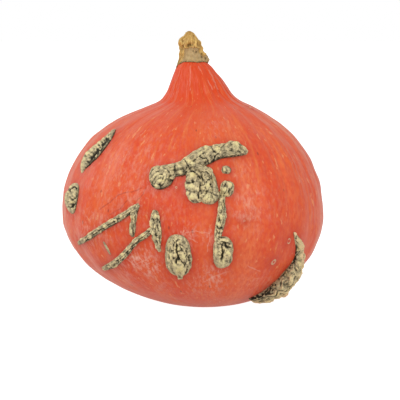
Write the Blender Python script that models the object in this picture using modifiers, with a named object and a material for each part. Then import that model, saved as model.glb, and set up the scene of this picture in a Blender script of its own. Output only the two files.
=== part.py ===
"""Red kuri squash with healed cork scars and a dried stem, standing on its small flat spot.

The fruit's outline is turned about the upright axis. A formula then moves its points to add the ribs,
the unevenness and the lean. Each scar is a ridge that follows a route over the skin and is fused to it.
The scene is in metres with +Z up. Sizes below are in millimetres and are turned into metres by MM.
"""

import math

import bmesh
import bpy
import numpy as np
from mathutils import Vector, noise
from mathutils.bvhtree import BVHTree

MM = 0.001

# Fruit outline as (radius, height), from the top of the neck down to the rim of the flat spot
NECK_TOP = 159.7
FRUIT_OUTLINE = [
    (0, NECK_TOP), (4, 159.5), (6.8, 158.6), (9.4, 156.5), (11.6, 154), (13.4, 151.1), (15.8, 147.3),
    (18.1, 142.6), (20.6, 137.8), (25.3, 132.8), (33.6, 128.9), (43.9, 124.2), (54.7, 117.8), (64.8, 109.6),
    (73, 99.6), (79.3, 87.5), (83.6, 75), (85, 61), (83.6, 49), (79.8, 39), (74, 30), (66, 21),
    (55.2, 12.8), (42.6, 6.5), (29, 1.9), (20, 0),
]
FRUIT_ROWS = 34
FRUIT_STEPS = 80
GUIDE_ROWS = 160
GUIDE_STEPS = 320

# Sideways lean of the axis toward +X as (height, shift): the belly is upright, the neck bends over
AXIS_LEAN = [
    (0, 8), (6, 7.2), (14, 5.4), (25, 3), (40, 1.2), (60, 0.2), (80, 0.2), (98, 0.6), (112, 1.2),
    (122, 2.7), (130.7, 5.3), (137.6, 4.1), (147.3, 2.7), (152.4, 1.5), (156.4, 0.6), (161.3, -0.1),
    (166.2, -0.9), (170.1, -2), (174.1, -1.8), (179, -2.3),
]

# Ribs and unevenness of the skin
RIBS = 20
RIB_DEPTH = 0.45
RIBS_FADE_IN = (8, 30)
RIBS_FADE_OUT = (142, 152)
UNEVEN_DEPTH = 0.7
UNEVEN_SPACING = 48

# Scars: each route lists (across, up, half width, height above the skin). Across and up say where
# the scar's middle line is seen on the upright plane through the axis, from the place VIEWED_FROM.
VIEWED_FROM = (4.9, -1094, 182.6)
SCAR_ROUTES = {
    "shoulder_strip": [
        (-50.2, 113.8, 1.4, 1), (-51.4, 112.4, 2.2, 1.4), (-54.2, 108.5, 4.6, 2.2), (-57.9, 103.7, 6.4, 2.7),
        (-61.8, 98.9, 7.6, 3), (-65.9, 94.4, 7.8, 3), (-68.7, 90.4, 5.8, 2.4), (-70.6, 87.3, 2.6, 1.4),
        (-71.7, 84.8, 0.9, 0.7),
    ],
    "side_ring": [
        (-76.9, 79.6, 6, 1.9), (-77.3, 75.5, 8, 2.5), (-77.9, 70, 9, 2.8), (-78.7, 64.8, 8, 2.5),
        (-79.6, 59.4, 6, 1.9),
    ],
    "slanting_stroke": [
        (-34.8, 64.6, 1.2, 1.2), (-40.2, 60.7, 2, 1.8), (-49.4, 54.8, 2.6, 2.2), (-58.5, 49.2, 2.3, 2),
        (-67.7, 43.3, 2.4, 1.9), (-75.2, 39, 1.4, 1.1),
    ],
    "short_stroke": [
        (-35.4, 64.3, 1.4, 1.2), (-38, 60.8, 2.1, 2), (-38.9, 55, 2, 2), (-39.8, 48.8, 2.2, 2),
        (-38.7, 42.8, 1.6, 1.4),
    ],
    "spindle": [
        (-24.4, 61.5, 1.6, 1), (-24.4, 57.5, 3, 2), (-24, 50.5, 3.9, 2.6), (-23.5, 43.5, 3.5, 2.4),
        (-23.1, 37.5, 2.1, 1.6), (-21.8, 33.6, 0.8, 0.7),
    ],
    "branch_stroke": [
        (-25.5, 49, 2, 1.4), (-31.5, 44.2, 2.2, 1.9), (-37, 40.3, 2.1, 1.9), (-43.2, 33.4, 2.3, 2),
        (-49.7, 26.8, 2.6, 2.1), (-55, 23.8, 2.4, 1.8), (-59.2, 22.2, 1.6, 1.2),
    ],
    "large_oval": [
        (-9.3, 45.4, 6, 2.6), (-9.6, 39, 7.9, 3.5), (-9.3, 31, 9.1, 3.8), (-8.9, 23.5, 8.2, 3.5),
        (-8.6, 17.2, 5.6, 2.6),
    ],
    "large_oval_nub": [(-8.4, 20.5, 2.2, 2.4), (-7.9, 15.4, 1.8, 1.6)],
    "small_oval": [
        (19.6, 44.2, 4.4, 2.4), (19.8, 39, 6.2, 3), (19.8, 33, 6.8, 3.2), (19.6, 27.4, 5.9, 2.9),
        (19.3, 22.4, 4, 2.2),
    ],
    "knob": [(22.1, 80.4, 3.6, 2.6), (22.4, 75, 4.6, 3.2), (22.6, 69.2, 3.2, 2.4)],
    "hanging_stroke": [
        (18.8, 74, 1.6, 1.8), (19.4, 68, 2, 2.2), (19.9, 60, 2.8, 2.4), (19, 53.1, 3.1, 2.5),
        (17, 46.5, 2.7, 2.3), (16, 40, 1.8, 1.6),
    ],
    "dot": [(21.9, 90.3, 3, 2), (21.9, 84.3, 3, 2)],
    "slanting_bar": [
        (-28.2, 79.6, 7.4, 3.4), (-24, 81.2, 8, 3.8), (-19, 83, 7.6, 4), (-12.6, 86.7, 4.8, 3.3),
        (-5.6, 88.3, 4.9, 3.4), (2.3, 93.2, 5.8, 4), (10.1, 97.5, 6, 4), (18, 99.6, 5.3, 3.6),
        (28, 101.7, 5.1, 3.5), (33, 101, 3.9, 2.8), (37.3, 100.2, 2.2, 1.6),
    ],
    "left_lobe": [
        (1.2, 89.5, 3.6, 3), (0.9, 83.4, 4.8, 4), (1.1, 77, 5.3, 4.6), (2.8, 69.5, 5, 4),
        (4, 65.4, 3.6, 2.6),
    ],
    "right_lobe": [
        (7, 92, 4.4, 3.2), (10.2, 85.4, 5, 3.8), (10.9, 78, 5.6, 4.2), (10.8, 71.5, 6.4, 4.6),
        (9.9, 64, 5.6, 3.4),
    ],
    "crescent": [
        (66.6, 46.6, 0.8, 0.7), (68, 41.3, 2, 1.6), (68.9, 36.7, 3, 2.4), (68.6, 31.4, 4.2, 3.6),
        (66.9, 26.2, 5.6, 5.6), (63.3, 20.9, 6.6, 7.2), (59, 15.8, 6.6, 8.6), (54.2, 11.2, 6.4, 9.8),
        (48, 7.2, 6, 9.6), (41.6, 3.8, 4.6, 6), (36.6, 2.1, 2.4, 2),
    ],
}
# Scars with a sunken middle, with the part of their height that it loses
SUNKEN = {"shoulder_strip": 0.3, "side_ring": 0.4, "spindle": 0.35, "large_oval": 0.5, "small_oval": 0.7}
# A scar by the floor bulges sideways more than down: how far its heights turn outward
OUTWARD = {"crescent": 0.8}
SCAR_RING_PITCH = 2.4
FEWEST_RINGS = 5
SCAR_WIDE = 3.5
SCAR_SIDES_THIN = 8
SCAR_SIDES_WIDE = 12
SCAR_ROOT = 2.2
SCAR_OVERHANG = 0.3
SUNKEN_WIDTH = 0.4
KNOB_SPACING = 5
KNOB_WIDTH_SHARE = 0.14
KNOB_HEIGHT_SHARE = 0.3
SCAR_CLEARS_FLOOR = 0.7

# Stem outline as (radius, height) down to the rim where it drapes over the neck
STEM_TOP = 177.6
STEM_OUTLINE = [
    (0, STEM_TOP), (1.5, 176.6), (3.4, 174.6), (5.6, 172.3), (6.8, 170), (6.9, 167.4), (6.4, 165.1),
    (6.4, 163.2), (6.7, 160.8), (7.6, 159.1),
]
STEM_RIM_RADIUS = 8.4
STEM_ROWS = 14
STEM_UNDER_ROWS = 5
STEM_STEPS = 36
STEM_LOBES = 6
STEM_LOBE_SHARE = 0.06
STEM_KNOT_DEPTH = 0.8
STEM_KNOT_SPACING = 5
STEM_GAP = 0.3
# Skirts of the rim as (direction in degrees, spread in degrees, reach): they hang down over the neck
STEM_SKIRTS = [(180, 26, 3.6), (-70, 16, 0.4), (10, 26, 1.2)]
# Lobes on its sides as (direction in degrees, spread in degrees, height, half height, reach)
STEM_SIDE_LOBES = [(5, 24, 160, 2.8, 3.4), (180, 26, 160.6, 4.5, 1.5)]

# Colours as linear red, green and blue
SKIN_COLOUR = (0.76, 0.12, 0.05)
STEM_COLOUR = (0.48, 0.30, 0.12)
SKIN_ROUGHNESS = 0.42
STEM_ROUGHNESS = 0.8
SHARP_ANGLE = 35


def clear_scene():
    for obj in list(bpy.data.objects):
        bpy.data.objects.remove(obj)


def new_collection(name):
    collection = bpy.data.collections.new(name)
    bpy.context.scene.collection.children.link(collection)
    return collection


def new_material(name, colour, roughness):
    material = bpy.data.materials.new(name)
    material.use_nodes = True
    shader = material.node_tree.nodes["Principled BSDF"]
    shader.inputs["Base Color"].default_value = (*colour, 1)
    shader.inputs["Roughness"].default_value = roughness
    shader.inputs["Metallic"].default_value = 0
    return material


def smooth_line(points, steps=10):
    """Points of a smooth line through the given ones: a centripetal Catmull-Rom curve."""
    line = np.array(points, float)
    line = np.vstack([2 * line[0] - line[1], line, 2 * line[-1] - line[-2]])
    gaps = np.linalg.norm(np.diff(line, axis=0), axis=1) ** 0.5
    slopes = np.diff(line, axis=0) / gaps[:, None]
    wide_slopes = (line[2:] - line[:-2]) / (gaps[1:] + gaps[:-1])[:, None]
    t = np.linspace(0, 1, steps, endpoint=False)[:, None]
    found = []
    for i in range(1, len(line) - 2):
        leaving = gaps[i] * (slopes[i - 1] - wide_slopes[i - 1] + slopes[i])
        arriving = gaps[i] * (slopes[i] - wide_slopes[i] + slopes[i + 1])
        found.append(
            (2 * t**3 - 3 * t**2 + 1) * line[i] + (t**3 - 2 * t**2 + t) * leaving
            + (3 * t**2 - 2 * t**3) * line[i + 1] + (t**3 - t**2) * arriving
        )
    return np.vstack(found + [line[-2]])


def evenly(line, count):
    """The line's values at evenly spaced places along it, measured in its first two values."""
    lengths = np.cumsum([0] + list(np.linalg.norm(np.diff(line[:, :2], axis=0), axis=1)))
    places = np.linspace(0, lengths[-1], count)
    return np.stack([np.interp(places, lengths, column) for column in line.T], axis=1)


LEAN_LINE = smooth_line(AXIS_LEAN)
OUTLINE_LINE = smooth_line(FRUIT_OUTLINE)
UPPER_SIDE = OUTLINE_LINE[:int(np.argmax(OUTLINE_LINE[:, 0])) + 1]


def lean(height):
    return float(np.interp(height, LEAN_LINE[:, 0], LEAN_LINE[:, 1]))


def ramp(value, start, end):
    """Rises smoothly from 0 to 1 between start and end."""
    share = min(max((value - start) / (end - start), 0), 1)
    return share * share * (3 - 2 * share)


def skin_place(radius, angle, height):
    """Where a point of the turned outline lies once ribs, unevenness and lean are added."""
    ribbed = ramp(height, *RIBS_FADE_IN) * (1 - ramp(height, *RIBS_FADE_OUT))
    across = Vector((radius * math.cos(angle), radius * math.sin(angle), height))
    radius += ribbed * RIB_DEPTH * math.cos(RIBS * angle)
    radius += ribbed * UNEVEN_DEPTH * noise.noise(across / UNEVEN_SPACING)
    return Vector((radius * math.cos(angle) + lean(height), radius * math.sin(angle), height))


def neck_height(radius):
    """Height of the fruit's upper side at this radius."""
    return float(np.interp(radius, UPPER_SIDE[:, 0], UPPER_SIDE[:, 1]))


def swell(angle, direction, spread):
    """A smooth bump round the axis: 1 in its direction, given in degrees like its spread."""
    away = math.remainder(math.degrees(angle) - direction, 360)
    return math.exp(-((away / spread) ** 2))


def stem_place(radius, angle, height):
    """The same for the stem, with its lobes, knots and skirts. Its underside follows the neck at a gap."""
    if height <= neck_height(radius) + STEM_GAP:
        skirt = sum(reach * swell(angle, direction, spread) for direction, spread, reach in STEM_SKIRTS)
        radius *= 1 + skirt / STEM_RIM_RADIUS
        height = neck_height(radius) + STEM_GAP
    elif radius > 0:
        across = Vector((radius * math.cos(angle), radius * math.sin(angle), height))
        radius *= 1 + STEM_LOBE_SHARE * math.cos(STEM_LOBES * angle)
        radius += STEM_KNOT_DEPTH * noise.noise(across / STEM_KNOT_SPACING)
        for direction, spread, middle, half_height, reach in STEM_SIDE_LOBES:
            level = math.exp(-(((height - middle) / half_height) ** 2))
            radius += reach * swell(angle, direction, spread) * level
    return Vector((radius * math.cos(angle) + lean(height), radius * math.sin(angle), height))


def turned_solid(name, rows, steps, place, collection):
    """Turns the outline, which runs down its outer side, and moves each point by the formula given."""
    points = [(radius * MM, 0, height * MM) for radius, height in rows]
    mesh = bpy.data.meshes.new(name)
    mesh.from_pydata(points, [(i, i + 1) for i in range(len(points) - 1)], [])
    obj = bpy.data.objects.new(name, mesh)
    collection.objects.link(obj)
    screw = obj.modifiers.new("turn", "SCREW")
    screw.steps = steps
    screw.render_steps = steps
    screw.use_merge_vertices = True
    screw.merge_threshold = 0.00001
    apply_modifiers(obj)
    for vertex in obj.data.vertices:
        x, y, z = vertex.co / MM
        vertex.co = place(math.hypot(x, y), math.atan2(y, x), z) * MM
    return obj


def apply_modifiers(obj):
    """Keeps the object's evaluated mesh and drops its modifiers."""
    evaluated = obj.evaluated_get(bpy.context.evaluated_depsgraph_get())
    mesh = bpy.data.meshes.new_from_object(evaluated)
    mesh.name = obj.name
    obj.modifiers.clear()
    obj.data = mesh


def fruit_rows(count):
    """The fruit's outline at evenly spaced places, closed over the flat spot."""
    rows = [tuple(row) for row in evenly(OUTLINE_LINE, count)]
    rows[0] = (0, NECK_TOP)
    flat_radius = FRUIT_OUTLINE[-1][0]
    return rows + [(flat_radius / 2, 0), (0, 0)]


def skin_tree():
    """A fine copy of the skin, for laying the scars on it."""
    scene_collection = bpy.context.scene.collection
    guide = turned_solid("guide", fruit_rows(GUIDE_ROWS), GUIDE_STEPS, skin_place, scene_collection)
    mesh = bmesh.new()
    mesh.from_mesh(guide.data)
    tree = BVHTree.FromBMesh(mesh)
    mesh.free()
    bpy.data.objects.remove(guide)
    return tree


def seen_on_skin(skin, across, up):
    """The place on the skin that is seen at this point of the upright plane through the axis."""
    eye = Vector(VIEWED_FROM) * MM
    aim = Vector((across, 0, up)) * MM
    return skin.ray_cast(eye, (aim - eye).normalized())[0]


def rounded_end(distance, half_width):
    """Share of the full section this far from the end of a ridge."""
    return math.sqrt(1 - (1 - min(distance / half_width, 1)) ** 2)


def scar_sections(skin, route):
    """Middle, direction, half width, height and end share of each ring along a scar."""
    line = smooth_line(route)
    length = np.linalg.norm(np.diff(line[:, :2], axis=0), axis=1).sum()
    rings = max(FEWEST_RINGS, round(length / SCAR_RING_PITCH))
    line = evenly(line, rings + 1)
    middles = [seen_on_skin(skin, across, up) for across, up, _, _ in line]
    sections = []
    for ring, (_, _, half_width, height) in enumerate(line):
        along = (middles[min(ring + 1, rings)] - middles[max(ring - 1, 0)]).normalized()
        share = rounded_end(length * min(ring, rings - ring) / rings, half_width)
        sections.append((middles[ring], along, half_width, height, share))
    return sections


def lift(height, turn, middle_loss):
    """Height over the skin at this turn round a ridge's section, in millimetres."""
    across = math.cos(turn)
    rise = math.sin(turn)
    if rise < 0:
        return SCAR_OVERHANG * height + rise * (SCAR_OVERHANG * height + SCAR_ROOT)
    sunk = 1 - middle_loss * math.exp(-((across / SUNKEN_WIDTH) ** 2))
    return height * (SCAR_OVERHANG + (1 - SCAR_OVERHANG) * rise * sunk)


def scar_place(skin, name, section, turn):
    """Where a point of the scar lies: over the skin, at this turn round its section."""
    middle, along, half_width, height, share = section
    _, normal, _, _ = skin.find_nearest(middle)
    side = along.cross(normal).normalized()
    knob = noise.noise((middle / MM + side * half_width * math.cos(turn)) / KNOB_SPACING)
    half_width *= (1 + KNOB_WIDTH_SHARE * knob) * share
    height *= 1 + KNOB_HEIGHT_SHARE * knob
    foot, normal, _, _ = skin.find_nearest(middle + side * half_width * math.cos(turn) * MM)
    outward = Vector((foot.x, foot.y, 0)).normalized()
    upward = (normal + outward * OUTWARD.get(name, 0)).normalized()
    rise = lift(height, turn, SUNKEN.get(name, 0)) * share - (1 - share) * SCAR_ROOT / 2
    place = foot + upward * rise * MM
    place.z = max(place.z, SCAR_CLEARS_FLOOR * MM)
    return place


def make_scar(name, route, skin, collection):
    """A ridge of cork: a ball whose rings are spread along the route and whose root is sunk in the flesh."""
    sections = scar_sections(skin, route)
    rings = len(sections) - 1
    widest = max(section[2] for section in sections)
    sides = SCAR_SIDES_WIDE if widest > SCAR_WIDE else SCAR_SIDES_THIN
    ball = bmesh.new()
    bmesh.ops.create_uvsphere(ball, u_segments=sides, v_segments=rings, radius=1)
    for vertex in ball.verts:
        ring = round(math.acos(max(-1, min(1, vertex.co.z))) / math.pi * rings)
        turn = math.atan2(vertex.co.y, vertex.co.x)
        vertex.co = scar_place(skin, name, sections[ring], turn)
    bmesh.ops.recalc_face_normals(ball, faces=ball.faces)
    mesh = bpy.data.meshes.new(name)
    ball.to_mesh(mesh)
    ball.free()
    scar = bpy.data.objects.new(name, mesh)
    collection.objects.link(scar)


def fuse(obj, collection):
    """Joins everything in the collection to the object, then removes the collection's objects."""
    union = obj.modifiers.new("fuse", "BOOLEAN")
    union.operation = "UNION"
    union.operand_type = "COLLECTION"
    union.collection = collection
    apply_modifiers(obj)
    for helper in list(collection.objects):
        bpy.data.objects.remove(helper)


def shade(obj, material):
    """Gives the object its material and smooth shading, with the creases by the scars kept sharp."""
    obj.data.materials.clear()
    obj.data.materials.append(material)
    obj.data.shade_smooth()
    obj.data.set_sharp_from_angle(angle=math.radians(SHARP_ANGLE))


def make_fruit(collection, helpers):
    fruit = turned_solid("fruit", fruit_rows(FRUIT_ROWS), FRUIT_STEPS, skin_place, collection)
    skin = skin_tree()
    for name, route in SCAR_ROUTES.items():
        make_scar(name, route, skin, helpers)
    fuse(fruit, helpers)
    shade(fruit, new_material("skin", SKIN_COLOUR, SKIN_ROUGHNESS))


def make_stem(collection):
    rows = [tuple(row) for row in evenly(smooth_line(STEM_OUTLINE), STEM_ROWS)]
    rows[0] = (0, STEM_TOP)
    for row in range(STEM_UNDER_ROWS + 1):
        radius = STEM_RIM_RADIUS * (1 - row / STEM_UNDER_ROWS)
        rows.append((radius, neck_height(radius) + STEM_GAP))
    stem = turned_solid("stem", rows, STEM_STEPS, stem_place, collection)
    shade(stem, new_material("stem", STEM_COLOUR, STEM_ROUGHNESS))


def main():
    clear_scene()
    squash = new_collection("red_kuri_squash")
    helpers = new_collection("scar_ridges")
    make_fruit(squash, helpers)
    make_stem(squash)


main()
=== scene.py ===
# %% [markdown]
# # A red kuri squash with healed cork scars
# The real thing is a teardrop of hard, waxy, orange-red rind on a small flat spot, with a dried cork stem on
# its neck. Where the young rind was scratched, it healed over with raised grey-tan cork. The solid model of
# the same squash is loaded first, as a frame that says where everything is, and each piece made here stands
# in its place with the fine detail that a solid has no room for.

import math

import bpy
import numpy as np
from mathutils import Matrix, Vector, kdtree, noise


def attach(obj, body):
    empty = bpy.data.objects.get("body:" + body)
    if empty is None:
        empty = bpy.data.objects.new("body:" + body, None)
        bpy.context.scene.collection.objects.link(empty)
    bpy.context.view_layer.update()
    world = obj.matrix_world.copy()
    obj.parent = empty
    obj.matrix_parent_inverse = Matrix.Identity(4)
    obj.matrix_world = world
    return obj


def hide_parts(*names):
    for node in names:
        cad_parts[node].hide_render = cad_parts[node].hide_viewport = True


MM = 0.001
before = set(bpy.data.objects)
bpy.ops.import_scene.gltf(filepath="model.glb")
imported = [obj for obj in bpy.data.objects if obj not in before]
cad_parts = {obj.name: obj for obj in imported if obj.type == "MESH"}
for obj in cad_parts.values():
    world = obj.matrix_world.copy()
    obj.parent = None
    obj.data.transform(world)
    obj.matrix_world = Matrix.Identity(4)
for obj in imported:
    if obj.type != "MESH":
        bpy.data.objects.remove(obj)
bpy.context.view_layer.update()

# %% [markdown]
# ## The view
# The squash is seen from the front and a little above, through a long lens from a metre away, so its sides
# hardly taper. Setting the view first lets the scars be laid where they are seen: a place on the upright
# plane through the axis is sent back to the eye, and the rind that this line of sight meets is the place.

# %% Camera
AIM = (4.905, 0, 67.6)
DOWNWARD = math.radians(6)
DISTANCE = 1100
FRAME_WIDTH = 261.54
SENSOR = 36

eye = Vector(AIM) + Vector((0, -math.cos(DOWNWARD), math.sin(DOWNWARD))) * DISTANCE
bpy.ops.object.camera_add(location=eye * MM, rotation=(math.pi / 2 - DOWNWARD, 0, 0))
camera = bpy.context.object
camera.data.sensor_width = SENSOR
camera.data.lens = SENSOR * DISTANCE / FRAME_WIDTH
bpy.context.scene.camera = camera
print("camera at", tuple(round(value, 1) for value in eye), "with a lens of", round(camera.data.lens, 1))

# %% [markdown]
# ## Lines and noise
# A smooth curve through a few measured points gives the outline of the rind, the lean of the axis and the
# route of each scar. Noise gives what grew by chance. Both are small helpers, because every piece uses them.

# %% Smooth lines
def smooth_line(points, steps=10):
    """Points of a smooth line through the given ones: a centripetal Catmull-Rom curve."""
    line = np.array(points, float)
    line = np.vstack([2 * line[0] - line[1], line, 2 * line[-1] - line[-2]])
    gap_shade = np.linalg.norm(np.diff(line, axis=0), axis=1) ** 0.5
    slopes = np.diff(line, axis=0) / gap_shade[:, None]
    wide_slopes = (line[2:] - line[:-2]) / (gap_shade[1:] + gap_shade[:-1])[:, None]
    t = np.linspace(0, 1, steps, endpoint=False)[:, None]
    found = []
    for i in range(1, len(line) - 2):
        leaving = gap_shade[i] * (slopes[i - 1] - wide_slopes[i - 1] + slopes[i])
        arriving = gap_shade[i] * (slopes[i] - wide_slopes[i] + slopes[i + 1])
        found.append(
            (2 * t**3 - 3 * t**2 + 1) * line[i] + (t**3 - 2 * t**2 + t) * leaving
            + (3 * t**2 - 2 * t**3) * line[i + 1] + (t**3 - t**2) * arriving
        )
    return np.vstack(found + [line[-2]])


def lengths_along(line):
    """Distance travelled along the line at each of its points, measured in its first two values."""
    return np.append(0, np.cumsum(np.linalg.norm(np.diff(line[:, :2], axis=0), axis=1)))


def evenly(line, count):
    """The line's values at evenly spaced places along it."""
    lengths = lengths_along(line)
    places = np.linspace(0, lengths[-1], count)
    return np.stack([np.interp(places, lengths, column) for column in line.T], axis=1)


# %% Noise and ramps
def noise_at(x, y, z):
    """Smooth noise, from about -1 to 1, at each place. A list of places is given as three columns."""
    places = np.stack(np.broadcast_arrays(x, y, z), axis=-1)
    found = [noise.noise(place) for place in places.reshape(-1, 3).tolist()]
    return np.array(found).reshape(places.shape[:-1])


def ramp(value, start, end):
    """Rises smoothly from 0 to 1 between start and end."""
    share = np.clip((value - start) / (end - start), 0, 1)
    return share * share * (3 - 2 * share)


def bell(value, middle, spread):
    """1 at the middle, and fading out on both sides."""
    return np.exp(-(((value - middle) / spread) ** 2))


def away_from(angle, direction):
    """How many degrees an angle is away from a direction, each way round."""
    return (np.degrees(angle) - direction + 180) % 360 - 180


# %% [markdown]
# ## The rind's shape
# The rind grew round its axis, so its outline is drawn point by point with extrude and then spun. A lathe
# shape is too regular for a fruit, so its points are then moved: twenty soft ribs, a slow unevenness, and an
# axis that bends over to one side at the neck. These are the solid's own numbers. The camera never comes
# near enough to see through the rind, so it is one closed skin with no flesh.

# %% Outline of the rind, as radius and height in millimetres
NECK_TOP = 159.7
FRUIT_OUTLINE = [
    (0, NECK_TOP), (4, 159.5), (6.8, 158.6), (9.4, 156.5), (11.6, 154), (13.4, 151.1), (15.8, 147.3),
    (18.1, 142.6), (20.6, 137.8), (25.3, 132.8), (33.6, 128.9), (43.9, 124.2), (54.7, 117.8), (64.8, 109.6),
    (73, 99.6), (79.3, 87.5), (83.6, 75), (85, 61), (83.6, 49), (79.8, 39), (74, 30), (66, 21),
    (55.2, 12.8), (42.6, 6.5), (29, 1.9), (20, 0),
]
AXIS_LEAN = [
    (0, 8), (6, 7.2), (14, 5.4), (25, 3), (40, 1.2), (60, 0.2), (80, 0.2), (98, 0.6), (112, 1.2),
    (122, 2.7), (130.7, 5.3), (137.6, 4.1), (147.3, 2.7), (152.4, 1.5), (156.4, 0.6), (161.3, -0.1),
    (166.2, -0.9), (170.1, -2), (174.1, -1.8), (179, -2.3),
]
FLAT_RADIUS = FRUIT_OUTLINE[-1][0]
OUTLINE = smooth_line(FRUIT_OUTLINE)
LEAN = smooth_line(AXIS_LEAN)
print("outline of", len(OUTLINE), "points,", round(lengths_along(OUTLINE)[-1]), "mm long")

# %% Draw an outline and spin it
TOUCHING = 0.001    # points nearer to each other than this, in millimetres, are one


def face_outward():
    """Turns all faces of the active object outward and shades it smooth."""
    bpy.ops.object.mode_set(mode="EDIT")
    bpy.ops.mesh.select_all(action="SELECT")
    bpy.ops.mesh.normals_make_consistent(inside=False)
    bpy.ops.object.mode_set(mode="OBJECT")
    bpy.ops.object.shade_smooth()


def spin_outline(name, rows, steps):
    """Draws the rows of (radius, height) as a line of edges, then spins it round the upright axis."""
    bpy.ops.object.select_all(action="DESELECT")
    bpy.ops.mesh.primitive_plane_add(size=MM)
    obj = bpy.context.object
    obj.name = name
    bpy.ops.object.mode_set(mode="EDIT")
    bpy.ops.mesh.merge(type="CENTER")
    bpy.ops.transform.translate(value=(rows[0][0] * MM, 0, rows[0][1] * MM))
    for (radius, height), (next_radius, next_height) in zip(rows, rows[1:]):
        step = ((next_radius - radius) * MM, 0, (next_height - height) * MM)
        bpy.ops.mesh.extrude_vertices_move(TRANSFORM_OT_translate={"value": step})
    bpy.ops.mesh.select_all(action="SELECT")
    bpy.ops.mesh.spin(steps=steps, angle=math.tau, center=(0, 0, 0), axis=(0, 0, 1))
    bpy.ops.mesh.select_all(action="SELECT")
    bpy.ops.mesh.remove_doubles(threshold=TOUCHING * MM)
    bpy.ops.object.mode_set(mode="OBJECT")
    face_outward()
    return obj


# %% Read and move an object's points
def points_of(obj):
    """The object's points, one a row, in millimetres."""
    points = np.empty(len(obj.data.vertices) * 3)
    obj.data.vertices.foreach_get("co", points)
    return points.reshape(-1, 3) / MM


def move_points(obj, points):
    """Puts the object's points at these places, given in millimetres."""
    obj.data.vertices.foreach_set("co", (points * MM).ravel())
    obj.data.update()


def keep_values(obj, name, values):
    """Stores a number, or three, for each point of the object, for its material to read."""
    kind = "FLOAT_VECTOR" if values.ndim > 1 else "FLOAT"
    layer = obj.data.attributes.new(name, kind, "POINT")
    layer.data.foreach_set("vector" if values.ndim > 1 else "value", values.astype(np.float32).ravel())


def round_axis(points):
    """Radius, angle and height of points before the lean."""
    return np.hypot(points[:, 0], points[:, 1]), np.arctan2(points[:, 1], points[:, 0]), points[:, 2]


def leaning(radius, angle, height):
    """Points round the leaning axis."""
    middle = np.interp(height, LEAN[:, 0], LEAN[:, 1])
    return np.stack([radius * np.cos(angle) + middle, radius * np.sin(angle), height], axis=1)


# %% Spin the rind
SKIN_ROWS = 228
SKIN_STEPS = 380
BLOSSOM_ROWS = 16

rows = [tuple(row) for row in evenly(OUTLINE, SKIN_ROWS)]
rows += [(FLAT_RADIUS * (1 - step / BLOSSOM_ROWS), 0) for step in range(1, BLOSSOM_ROWS + 1)]
skin = spin_outline("waxy_rind", rows, SKIN_STEPS)
print(skin.name, len(skin.data.vertices), "points,", len(skin.data.polygons), "faces")

# %% [markdown]
# ## Ribs, folds and fine ridges
# A squash's rind is never smooth. Folds run down from the stem over the neck, the shoulder on one side is
# finely ridged like pulled cloth, and shallow dimples lie all over. They follow the meridians, so the noise
# is read on a coordinate that runs round and down the fruit instead of in plain space: stretched down the
# meridian it gives ridges, and evenly it gives dimples. That coordinate is kept for the material too.

# %% Large forms, as in the solid
RIBS = 20
RIB_DEPTH = 0.45
RIBS_FADE_IN = (8, 30)
RIBS_FADE_OUT = (142, 152)
UNEVEN_DEPTH = 0.7
UNEVEN_SPACING = 48

radius, angle, height = round_axis(points_of(skin))
ribbed = ramp(height, *RIBS_FADE_IN) * (1 - ramp(height, *RIBS_FADE_OUT))
across = (radius * np.cos(angle), radius * np.sin(angle), height)
uneven = noise_at(*(value / UNEVEN_SPACING for value in across))
shaped_radius = radius + ribbed * (RIB_DEPTH * np.cos(RIBS * angle) + UNEVEN_DEPTH * uneven)
print("large forms move the rind by up to", round(float(np.abs(shaped_radius - radius).max()), 2), "mm")

# %% A coordinate that runs round the fruit and down it
MERIDIAN_RADIUS = 60

flat_spot = height < TOUCHING
travelled = np.interp(-height, -OUTLINE[:, 1], lengths_along(OUTLINE))
travelled += np.where(flat_spot, FLAT_RADIUS - radius, 0)
meridian = np.stack([MERIDIAN_RADIUS * np.cos(angle), MERIDIAN_RADIUS * np.sin(angle), travelled], axis=1)
keep_values(skin, "meridian", meridian)
print("a meridian is", round(float(travelled.max())), "mm long")


def meridian_noise(spacing_round, spacing_down):
    """Noise on that coordinate, with its own spacing in millimetres round the fruit and down it."""
    round_x, round_y, down = meridian.T
    return noise_at(round_x / spacing_round, round_y / spacing_round, down / spacing_down)


# %% Folds, ridges and dimples
FOLD_SPACING = (9, 120)
FOLD_DEPTH = 0.6
RIDGE_SPACING = (2.6, 34)
RIDGE_DEPTH = 0.18
SHOULDER_RIDGE_DEPTH = 0.8
RIDGED_SHOULDER = (-32, 34, 96, 30)    # direction and spread in degrees, height and spread in millimetres
DIMPLE_SPACING = (8, 9)
DIMPLE_DEPTH = 0.55
# Heights over which the neck begins and the forms rise from the floor, then distances from the axis over
# which the folds and all the forms begin
NECK_BEGINS = (112, 140)
OFF_FLOOR = (3, 12)
FOLDS_BEGIN = (4, 12)
FORMS_BEGIN = (2, 10)

direction, spread, level, reach = RIDGED_SHOULDER
shoulder = bell(away_from(angle, direction), 0, spread) * bell(height, level, reach)
neck = ramp(height, *NECK_BEGINS)
folds = meridian_noise(*FOLD_SPACING) * FOLD_DEPTH * neck * ramp(radius, *FOLDS_BEGIN)
ridges = meridian_noise(*RIDGE_SPACING) * (RIDGE_DEPTH + SHOULDER_RIDGE_DEPTH * shoulder)
dimples = meridian_noise(*DIMPLE_SPACING) * DIMPLE_DEPTH
shaped_radius += ramp(height, *OFF_FLOOR) * ramp(radius, *FORMS_BEGIN) * (folds + ridges + dimples)
move_points(skin, leaning(shaped_radius, angle, height))
keep_values(skin, "neck", neck)
print("rind", skin.dimensions[0] / MM, "mm wide, lowest at", points_of(skin)[:, 2].min(), "mm")
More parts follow.
